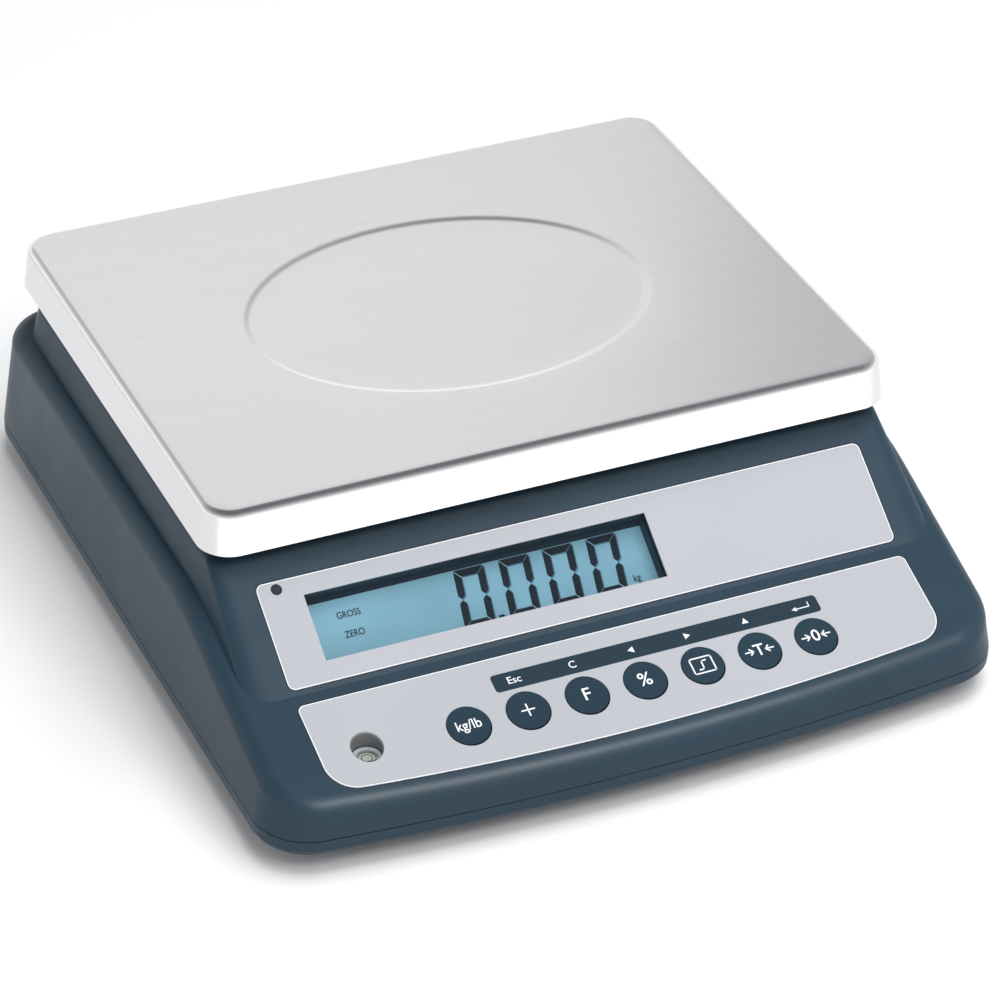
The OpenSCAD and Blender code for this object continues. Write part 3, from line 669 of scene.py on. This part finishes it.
def draw_pockets(mesh):
    slab(mesh, display_film_outline(FILM_GAP), DISPLAY_SLOPE, -FILM_RECESS, 6 * MM)
    slab(mesh, key_film_outline(FILM_GAP), KEY_SLOPE, -FILM_RECESS, 6 * MM)


def draw_openings(mesh):
    lamp_hole, key_hole, jack_hole = 2.3 * MM, 9.1 * MM, 4.2 * MM
    slab(mesh, window_outline(0), DISPLAY_SLOPE, -20 * MM, 8 * MM)
    lamp = DISPLAY_SLOPE.inverted() @ middle("indicator_led")
    slab(mesh, shifted(circle_outline(lamp_hole), lamp.x, lamp.y), DISPLAY_SLOPE, -6 * MM, 8 * MM)
    for node in KEYS:
        centre = key_centre(node)
        slab(mesh, shifted(circle_outline(key_hole, 96), centre.x, centre.y), KEY_SLOPE, -6 * MM, 8 * MM)
    vial = middle("level_vial")
    upright = Matrix.Translation((vial.x, vial.y, 0))
    slab(mesh, circle_outline(VIAL_BORE, 64), upright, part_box("level_vial")[1].z + 0.4 * MM, HOUSING[1].z)
    post_hole = shifted(rounded_outline(50 * MM, 46 * MM, 2 * MM), 44 * MM, middle("platform_post").y)
    slab(mesh, post_hole, Matrix.Identity(4), HOUSING[1].z - 12 * MM, HOUSING[1].z + 6 * MM)
    switch_hole = rounded_outline(19.4 * MM, 13.4 * MM, 0.4 * MM)
    for outline, node in ((circle_outline(jack_hole), "dc_jack"), (switch_hole, "power_switch_body")):
        slab(mesh, outline, back_wall_frame(node), -8 * MM, 6 * MM)


def window_outline(grow):
    low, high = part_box("display_window")
    width = high.x - low.x + 0.2 * MM + 2 * grow
    outline = rounded_outline(width, WINDOW_H + 2 * grow, 0.25 * MM + grow, 3)
    return shifted(outline, (low.x + high.x) / 2, WINDOW_V)


def build_housing():
    form = HousingForm()
    mesh = bmesh.new()
    outer = [ring(mesh, loop) for loop in form.loops()]
    inner = [ring(mesh, loop) for loop in form.loops(HOUSING_WALL)]
    for rings in (outer, inner):
        skin(mesh, rings, open_start=True)
    bridge(mesh, outer[0], inner[0])
    shell = new_piece("housing_shell", mesh, MATERIALS["housing"], "root", 40)
    cut(shell, cutter("pockets", draw_pockets))
    cut(shell, cutter("openings", draw_openings))
    shell.data.shade_smooth()
    shell.data.set_sharp_from_angle(angle=math.radians(14.5))
    break_edges(shell, 0.22, 2, 50)
    weighted = shell.modifiers.new("Weighted normals", "WEIGHTED_NORMAL")
    weighted.keep_sharp = True
    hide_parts("top_housing")

    mesh = bmesh.new()
    tube(mesh, window_outline(2 * MM), window_outline(0), DISPLAY_SLOPE, -9 * MM, -1.8 * MM)
    new_piece("window_frame", mesh, MATERIALS["housing"], "root")
    build_vial_well()


def build_vial_well():
    """Moulded well round the level vial, and its grey liner that ends flush on the key slope."""
    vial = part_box("level_vial")
    centre = middle("level_vial")
    mesh = bmesh.new()
    tube(mesh, circle_outline(8.6 * MM, 64), circle_outline(VIAL_BORE, 64),
         Matrix.Translation((centre.x, centre.y, 0)), vial[0].z - MM, vial[1].z + 0.9 * MM)
    new_piece("vial_well", mesh, MATERIALS["housing"], "root")

    def on_slope(y):
        return FOLD.z + (y - FOLD.y) * math.tan(KEY_TILT) - 0.45 * MM

    rings = []
    mesh = bmesh.new()
    for radius, low_end in ((6.55, True), (6.55, False), (6.15, False), (6.15, True)):
        points = []
        for x, y in shifted(circle_outline(radius * MM, 64), centre.x, centre.y):
            points.append((x, y, vial[1].z + 0.1 * MM if low_end else on_slope(y)))
        rings.append(ring(mesh, points))
    wrap(mesh, rings)
    liner = moulded_plastic("Vial well grey", (0.17, 0.175, 0.18), 0.3, 0.3)
    new_piece("vial_liner", mesh, liner, "root")


# ---------- Pan ----------


def build_pan():
    low, high = PAN
    centre = (low + high) / 2
    width, depth = high.x - low.x, high.y - low.y
    flare, bend, corner, sheet = 1.8 * MM, 3.5 * MM, 14 * MM, 0.8 * MM
    oval_x, oval_y, oval_depth, oval_slope = 89 * MM, 67 * MM, 0.75 * MM, 4.8 * MM
    oval_offset = -2 * MM
    steps = 15

    def outline(inset, radius, z):
        flat = rounded_outline(width - 2 * inset, depth - 2 * inset, radius, steps)
        dense = []
        for a, b in zip(flat, flat[1:] + flat[:1]):
            pieces = 14 if math.dist(a, b) > 30 * MM else 1
            dense += run_points(a, b, pieces)
        return [Vector((centre.x + x, centre.y + y, z)) for x, y in dense]

    def oval(like, shrink, z):
        points = []
        for p in like:
            a = math.atan2((p.y - centre.y) / oval_y, (p.x - centre.x) / oval_x)
            points.append(Vector((centre.x + (oval_x - shrink) * math.cos(a),
                                  centre.y + oval_offset + (oval_y - shrink) * math.sin(a), z)))
        return points

    def sheet_loops(offset):
        """Loops from the rim to the centre of the top, for the outside or, offset inwards, the inside."""
        top = high.z - offset
        radius = bend - offset
        knee = high.z - bend
        loops = [outline(offset + flare * t, corner - offset - t * MM, low.z + (knee - low.z) * t)
                 for t in (0, 0.02, 0.35, 0.7, 1)]
        for k in range(1, 9):
            a = math.radians(90) * k / 8
            inset = offset + flare + radius * (1 - math.cos(a))
            loops.append(outline(inset, corner - MM - inset + flare, knee + radius * math.sin(a)))
        rim = loops[-1]
        first_oval = oval(rim, 0, top)
        for t in (0.04, 0.35, 0.7):
            loops.append([p.lerp(q, t) for p, q in zip(rim, first_oval)])
        loops.append(first_oval)
        for k in range(1, 13):
            s = k / 12
            loops.append(oval(rim, oval_slope * s, top - oval_depth * (1 - math.cos(math.pi * s)) / 2))
        floor = top - oval_depth
        for share in (0.2, 0.5, 0.8):
            loops.append(oval(rim, oval_slope + (oval_y - oval_slope) * share, floor))
        return loops

    mesh = bmesh.new()
    outside = [ring(mesh, loop) for loop in sheet_loops(0)]
    skin(mesh, outside, open_start=True)
    inside = [ring(mesh, loop) for loop in sheet_loops(sheet)]
    skin(mesh, inside, open_start=True)
    bridge(mesh, outside[0], inside[0])
    pan = new_piece("pan_sheet", mesh, MATERIALS["pan_steel"], "pan", 50)
    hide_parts("weighing_pan")


# ---------- Keys ----------


def build_keys():
    cap_profile = [(0, 0.14), (4, 0.15), (7.4, 0.22), (8.25, 0.3), (8.6, 0.26), (8.8, 0.0), (8.8, -3.0),
                   (8.8, -3.1), (10.1, -3.1), (10.1, -4.1), (2.0, -4.1), (2.0, -5.95), (0.01, -5.95)]
    for node in KEYS:
        place = KEY_SLOPE @ Matrix.Translation(key_centre(node))
        mesh = bmesh.new()
        lathe(mesh, [(max(r, 0.01) * MM, h * MM) for r, h in cap_profile], place, 96)
        piece = new_piece("cap_" + node, mesh, MATERIALS["keys"], node, 30)
        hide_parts(node)
        draw_symbol(node, place)


def key_centre(node):
    """Centre of a key on the key slope's own plane."""
    local = KEY_SLOPE.inverted() @ middle(node)
    return Vector((local.x, local.y, 0))


def draw_symbol(node, place):
    words = {"key_unit": ("kg/lb", 6.3, 0.9), "key_function": ("F", 8.0, 1), "key_percent": ("%", 8.4, 1),
             "key_tare": ("T", 7.6, 1), "key_zero": ("0", 7.6, 1)}
    low, thickness = 0.17 * MM, 0.06 * MM
    if node in words:
        text, size, squeeze = words[node]
        lettering("legend_" + node, text, size * MM, place, low, thickness, WHITE_INK, node, squeeze)
    pen = 0.62 * MM
    lines = {
        "key_plus": [[(-2.9, 0), (2.9, 0)], [(0, -2.9), (0, 2.9)]],
        "key_sample": [
            [(-4.6, -3.2), (-4.6, 3.2), (-4.2, 3.6), (4.2, 3.6), (4.6, 3.2), (4.6, -3.2), (4.2, -3.6),
             (-4.2, -3.6), (-4.6, -3.2)],
            [(-2.2, -2.0), (-0.6, -2.0), (0, -1.4), (0, 1.4), (0.6, 2.0), (2.2, 2.0)]],
    }
    for arrow_key in ("key_tare", "key_zero"):
        lines[arrow_key] = []
        for side in (-1, 1):
            tip = side * 2.6
            lines[arrow_key].append([(side * 6.4, 0), (tip, 0)])
            lines[arrow_key].append([(tip + side * 1.7, 1.5), (tip, 0), (tip + side * 1.7, -1.5)])
    if node in lines:
        mesh = bmesh.new()
        strokes(mesh, [mm(line) for line in lines[node]], place, pen, low, low + thickness)
        new_piece("symbol_" + node, mesh, WHITE_INK, node)


# ---------- Printed panels ----------


def build_panel_print():
    """Dark legend strip with its white marks, and the light cut edge round both overlays."""
    strip_low, strip_high, strip_left, strip_right = -20.6, -12.4, -55, 87.8
    film_top = 0.1
    centre_x, centre_v = (strip_left + strip_right) / 2, (strip_low + strip_high) / 2
    mesh = bmesh.new()
    outline = rounded_outline((strip_right - strip_left) * MM, (strip_high - strip_low) * MM, 1.6 * MM, 6)
    slab(mesh, outline, at(KEY_SLOPE, centre_x, centre_v), (film_top - 0.02) * MM, (film_top + 0.03) * MM)
    new_piece("legend_strip", mesh, DARK_INK, "root")

    mesh = bmesh.new()
    rim, rim_low, rim_high = 0.4 * MM, -0.3 * MM, (film_top + 0.03) * MM
    tube(mesh, key_film_outline(0), key_film_outline(-rim), KEY_SLOPE, rim_low, rim_high)
    tube(mesh, display_film_outline(0), display_film_outline(-rim), DISPLAY_SLOPE, rim_low, rim_high)
    new_piece("film_edges", mesh, EDGE_WHITE, "root")

    low, thickness = (film_top + 0.03) * MM, 0.03 * MM
    for word, x, size in (("Esc", -46, 4.6), ("C", -21, 4.6)):
        lettering("legend_" + word, word, size * MM, at(KEY_SLOPE, x, centre_v), low, thickness,
                  WHITE_INK, "root")
    mesh = bmesh.new()
    triangle = [(-1.5, 0), (1.1, -1.45), (1.1, 1.45)]
    for x, turn in ((4.5, 0), (29, math.pi), (54.7, -math.pi / 2)):
        slab(mesh, mm(triangle), at(KEY_SLOPE, x, centre_v, 0, turn), low, low + thickness)
    enter = [[(3.4, 1.7), (3.4, -0.6), (-3.0, -0.6)]]
    arrow_place = at(KEY_SLOPE, 80, centre_v)
    strokes(mesh, [mm(line) for line in enter], arrow_place, 0.45 * MM, low, low + thickness)
    slab(mesh, mm([(-4.4, -0.6), (-2.2, -1.6), (-2.2, 0.4)]), arrow_place, low, low + thickness)
    new_piece("legend_arrows", mesh, WHITE_INK, "root")


# ---------- Display ----------

DIGIT_LEFT = [-53.0, -33.4, -14.3, 4.9]
DIGIT_LOW = 12.4
DIGIT_SIZE = (13.1, 24.6)
SEGMENT = 3.0
SLANT = math.tan(math.radians(7))
LCD_FACE = -9.0


def segment_outlines():
    """The six lit bars of a seven-segment zero, mitred at the corners, in the digit's own frame."""
    w, h = DIGIT_SIZE
    t, air = SEGMENT, 0.2

    def upright(outer, inner, end, away):
        """A bar from the waist to one end; away is +1 towards the top and -1 towards the bottom."""
        waist = h / 2 + air * away
        corner = end - 2 * air * away
        return [(outer, waist + t / 2 * away), ((outer + inner) / 2, waist), (inner, waist + t / 2 * away),
                (inner, corner - t * away), (outer, corner)]

    bars = []
    for end, away in ((h, 1), (0, -1)):
        bars.append([(air, end), (w - air, end), (w - t - air, end - t * away), (t + air, end - t * away)])
        bars.append(upright(0, t, end, away))
        bars.append(upright(w, w - t, end, away))
    return bars


def slanted(points, left, low):
    return [((x + left + y * SLANT) * MM, (y + low) * MM) for x, y in points]


def build_display():
    face = LCD_FACE * MM
    # The second pass, display_digit_shadows, is a painted shadow: the segments again in a paler ink, offset
    # down and to the right.
    for name, material, dx, dv, low in (("display_digits", SEGMENT_INK, 0, 0, 0.10),
                                        ("display_digit_shadows", PAINTED_SEGMENT_SHADOW, 0.45, -0.5, 0.03)):
        mesh = bmesh.new()
        for left in DIGIT_LEFT:
            for bar in segment_outlines():
                slab(mesh, slanted(bar, left + dx, DIGIT_LOW + dv), DISPLAY_SLOPE, face + low * MM,
                     face + (low + 0.04) * MM)
        point = shifted(rounded_outline(2.5, 2.5, 0.5, 4), 0, 1.25)
        point_x = DIGIT_LEFT[0] + DIGIT_SIZE[0] + 3.0
        slab(mesh, slanted(point, point_x + dx, DIGIT_LOW + dv), DISPLAY_SLOPE, face + low * MM,
             face + (low + 0.04) * MM)
        new_piece(name, mesh, material, "root")
    for name, material, low_v, high_v in (("display_mask", MATERIALS["housing"], 37.9, 41.3),
                                          ("display_mask_edge", SEGMENT_INK, 37.3, 37.9)):
        mesh = bmesh.new()
        outline = rounded_outline(150.6 * MM, (high_v - low_v) * MM, 0.1 * MM, 1)
        slab(mesh, shifted(outline, middle("lcd_panel").x, (low_v + high_v) / 2 * MM), DISPLAY_SLOPE,
             face + 0.02 * MM, face + 0.2 * MM)
        new_piece(name, mesh, material, "root")
    status = (("GROSS", -96.8, 30.2, 4.0), ("ZERO", -96.8, 22.0, 4.0), ("kg", 23.4, 16.2, 4.4))
    for word, x, v, size in status:
        lettering("display_" + word.lower(), word, size * MM, at(DISPLAY_SLOPE, x, v), face + 0.08 * MM,
                  0.04 * MM, SEGMENT_INK, "root", 0.82)


# ---------- Level vial ----------


def build_level_vial():
    low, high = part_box("level_vial")
    centre = (low + high) / 2
    place = Matrix.Translation((centre.x, centre.y, low.z))
    height = high.z - low.z
    outer = (high.x - low.x) / 2
    mesh = bmesh.new()
    lathe(mesh, [(AXIS, 0), (outer, 0), (outer, height - 0.5 * MM), (outer - 0.5 * MM, height),
                 (4.9 * MM, height), (4.4 * MM, height - 0.5 * MM), (4.4 * MM, 1.7 * MM),
                 (AXIS, 1.7 * MM)], place)
    body = new_piece("vial_body", mesh, MATERIALS["vial"], "root")
    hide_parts("level_vial")

    mesh = bmesh.new()
    dome = height - 0.9 * MM
    lathe(mesh, [(AXIS, 1.75 * MM), (4.35 * MM, 1.75 * MM), (4.35 * MM, dome - 0.5 * MM),
                 (3.2 * MM, dome - 0.15 * MM), (1.6 * MM, dome), (AXIS, dome)], place)
    liquid = new_piece("vial_liquid", mesh, MATERIALS["vial_liquid"], "root")
    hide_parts("vial_liquid_bubble")

    mesh = bmesh.new()
    for line in (2.0, 3.4):
        levels = ((line, 0.02), (line + 0.28, 0.02), (line + 0.28, 0.06), (line, 0.06))
        wrap(mesh, [ring(mesh, [place @ Vector((x, y, dome + h * MM)) for x, y in circle_outline(r * MM)])
                    for r, h in levels])
    new_piece("vial_circles", mesh, SEGMENT_INK, "root")


# ---------- Feet ----------


def build_feet():
    for corner in FEET:
        low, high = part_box("foot_pad_" + corner)
        centre = (low + high) / 2
        place = Matrix.Translation((centre.x, centre.y, 0))
        rim = (high.x - low.x) / 2 / MM
        mesh = bmesh.new()
        profile = [(0, 0.6), (4, 0.6), (4.6, 0), (rim - 4.4, 0), (rim - 4.0, 0.5), (rim - 3.0, 0.5),
                   (rim - 2.6, 0), (rim - 0.6, 0), (rim, 0.6), (rim, 1.6), (rim - 0.5, 2.0),
                   (rim - 1.0, 2.05), (7.4, 3.3), (7.0, 3.4), (2.05, 3.4), (2.05, 1.2), (0, 1.2)]
        lathe(mesh, [(max(r * MM, AXIS), h * MM) for r, h in profile], place, 72)
        pad = new_piece("pad_" + corner, mesh, MATERIALS["rubber"], "foot_pad_" + corner)
        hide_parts("foot_pad_" + corner)

        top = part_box("foot_stud_" + corner)[1].z
        mesh = bmesh.new()
        boss = [(0, 1.3), (1.7, 1.3), (2, 1.6), (2, 4.3), (0, 4.3)]
        lathe(mesh, [(max(r * MM, AXIS), h * MM) for r, h in boss], place, 24)
        grip = knurl(10 * MM, 0.9 * MM, 24)
        lathe(mesh, [(2.5 * MM, 4 * MM), (9.4 * MM, 4 * MM), (grip, 4.5 * MM), (grip, 6.7 * MM),
                     (9.4 * MM, 7.2 * MM), (2.5 * MM, 7.2 * MM)], place, 192)
        threaded_rod(mesh, place, 3 * MM, 1.0 * MM, 7.1 * MM, top)
        stud = new_piece("stud_" + corner, mesh, MATERIALS["studs"], "foot_stud_" + corner, 40)
        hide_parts("foot_stud_" + corner)


def threaded_rod(mesh, place, radius, pitch, low, high, count=28, per_turn=6):
    """Rod with a helical V thread: the radius follows a triangle wave that climbs with the angle."""
    depth = 0.55 * pitch
    levels = round((high - low) / pitch * per_turn)
    rings = []
    for level in range(levels + 1):
        z = low + (high - low) * level / levels
        points = []
        for k in range(count):
            a = math.tau * k / count
            phase = (z / pitch - k / count) % 1
            r = radius - depth * abs(2 * phase - 1)
            points.append(place @ Vector((r * math.cos(a), r * math.sin(a), z)))
        rings.append(ring(mesh, points))
    skin(mesh, rings)


# ---------- Underside screws and rear switch ----------


def build_underside_screws():
    """Screws and bolts whose heads show under the tray, with their driver recesses."""
    for node, head, rise, shank, recess in (
            ("housing_screws", 3.2 * MM, 2.0 * MM, 1.5 * MM, cross_recess(2.0 * MM, 0.5 * MM)),
            ("battery_cover_screws", 1.5 * MM, 0.9 * MM, 1.0 * MM, cross_recess(1.0 * MM, 0.26 * MM)),
            ("load_cell_lower_bolts", 5.0 * MM, 1.5 * MM, 3.0 * MM, hexagon(2.9 * MM))):
        mesh = bmesh.new()
        for centre, low_z, high_z in solids_of(node, 2.2 * head):
            place = Matrix.Translation((centre.x, centre.y, low_z + rise)) @ Matrix.Rotation(math.pi, 4, "X")
            length = high_z - low_z - rise
            lathe(mesh, [(0.6 * shank, -length), (shank, 0.4 * shank - length), (shank, 0), (head, 0),
                         (head, 0.6 * rise), (0.94 * head, 0.9 * rise), (0.84 * head, rise), (recess, rise),
                         (recess, 0.35 * rise)], place, 72)
        piece = new_piece(node + "_turned", mesh, MATERIALS["screws"], "root", 30)
        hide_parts(node)


def solids_of(node, reach):
    """Middle, lowest and highest height of each upright fastener in a node that holds a group of them."""
    groups = []
    for vertex in frame["nodes"][node].data.vertices:
        for group in groups:
            if (vertex.co.xy - group[0].xy).length < reach:
                group.append(vertex.co)
                break
        else:
            groups.append([vertex.co])
    for group in groups:
        low = Vector([min(p[k] for p in group) for k in range(3)])
        high = Vector([max(p[k] for p in group) for k in range(3)])
        yield (low + high) / 2, low.z, high.z


def build_rocker_marks():
    """The off ring and the on bar, printed on the rocker's two sloping halves."""
    rest_tilt, face_tilt = math.radians(9), math.atan(1.4 / 6.8)
    wall = back_wall_frame("power_switch_body")
    pin = wall @ Matrix.Translation((0, 0, -MM)) @ Matrix.Rotation(rest_tilt, 4, "Y")
    ring_place, bar_place = [pin @ Matrix.Translation((side * 4.2 * MM, 0, 3.09 * MM))
                             @ Matrix.Rotation(-side * face_tilt, 4, "Y") for side in (-1, 1)]
    mesh = bmesh.new()
    tube(mesh, circle_outline(1.6 * MM), circle_outline(1.2 * MM), ring_place, 0, 0.06 * MM)
    strokes(mesh, [mm([(0, -1.6), (0, 1.6)])], bar_place, 0.45 * MM, 0, 0.06 * MM)
    new_piece("rocker_marks", mesh, WHITE_INK, "rocker")


# ---------- Camera, floor and light ----------


def build_camera():
    azimuth, elevation, roll = math.radians(-25.24), math.radians(34.60), math.radians(1.68)
    distance, lens = 1.5867, 143.8
    aim = Vector((-0.0243, -0.0680, 0.0809))
    back = Vector((math.sin(azimuth) * math.cos(elevation), -math.cos(azimuth) * math.cos(elevation),
                   math.sin(elevation)))
    right = Vector((math.cos(azimuth), math.sin(azimuth), 0))
    up = back.cross(right)
    rolled_right = right * math.cos(roll) + up * math.sin(roll)
    rolled_up = back.cross(rolled_right)
    data = bpy.data.cameras.new("Camera")
    data.lens = lens
    data.sensor_width = 36
    camera = add_object("Camera", data)
    turn = Matrix((rolled_right, rolled_up, back)).transposed().to_4x4()
    camera.matrix_world = Matrix.Translation(aim + back * distance) @ turn
    bpy.context.scene.camera = camera


def area_light(name, place, aim, size, power, mirrored_by=None):
    """Soft box that lights matt surfaces, or a card that only the named piece mirrors."""
    data = bpy.data.lights.new(name, "AREA")
    data.shape = "RECTANGLE"
    data.size, data.size_y = size
    data.energy = power
    light = add_object(name, data)
    light.visible_camera = False
    light.visible_diffuse = mirrored_by is None
    light.visible_glossy = mirrored_by is not None
    if mirrored_by:
        receivers = bpy.data.collections.new(name + "_receivers")
        receivers.objects.link(bpy.data.objects[mirrored_by])
        light.light_linking.receiver_collection = receivers
    light.location = place
    light.rotation_euler = (Vector(aim) - Vector(place)).to_track_quat("-Z", "Y").to_euler()


def build_studio():
    mesh = bmesh.new()
    slab(mesh, rounded_outline(9, 9, 2, 8), Matrix.Translation((0, 0, CAD_BOX[0].z)), -0.02, 0)
    data = mesh_data("floor", mesh)
    paper = new_material("Studio paper", (0.86, 0.86, 0.865), 0.9, Specular_IOR_Level=0.1)
    vary_roughness(paper, object_noise(paper, 3, 2), 0.85, 0.95)
    data.materials.append(paper)
    floor = add_object("floor", data)
    light_world()
    area_light("overhead_key", (0.45, -0.15, 2.3), (0, 0, 0.05), (1.5, 1.5), 40)
    area_light("front_fill", (0.1, -1.2, 1.6), (0.1, -0.7, 0), (1.2, 0.6), 12)
    area_light("back_panel", (0.35, 1.5, 1.3), (0, 0, 0.13), (1.1, 0.9), 1.38, "pan_sheet")
    area_light("skirt_card", (0.15, -0.42, 0.004), (0.15, -0.42, 1), (1.4, 0.36), 1.8, "pan_sheet")
    area_light("nose_strip", (0.35, -1.25, 1.35), (0, -0.16, 0.03), (1.1, 0.12), 42, "housing_shell")


def light_world():
    """White round the horizon and greyer overhead, as in a studio with a bright backdrop."""
    world = bpy.data.worlds.new("Studio")
    world.use_nodes = True
    tree = world.node_tree
    direction = tree.nodes.new("ShaderNodeTexCoord")
    split = tree.nodes.new("ShaderNodeSeparateXYZ")
    ramp = tree.nodes.new("ShaderNodeValToRGB")
    ramp.color_ramp.elements[0].position = 0.1
    ramp.color_ramp.elements[0].color = (1.0, 1.0, 1.0, 1)
    ramp.color_ramp.elements[1].position = 0.92
    ramp.color_ramp.elements[1].color = (0.12, 0.123, 0.13, 1)
    ramp.color_ramp.elements.new(0.42).color = (0.5, 0.505, 0.515, 1)
    tree.links.new(direction.outputs["Generated"], split.inputs["Vector"])
    tree.links.new(split.outputs["Z"], ramp.inputs["Fac"])
    tree.links.new(ramp.outputs["Color"], tree.nodes["Background"].inputs["Color"])
    tree.nodes["Background"].inputs["Strength"].default_value = 1.4
    bpy.context.scene.world = world
    bpy.context.scene.view_settings.view_transform = "Standard"


finish_cad_nodes()
build_housing()
build_pan()
build_keys()
build_panel_print()
build_display()
build_level_vial()
build_feet()
build_underside_screws()
build_rocker_marks()
build_camera()
build_studio()
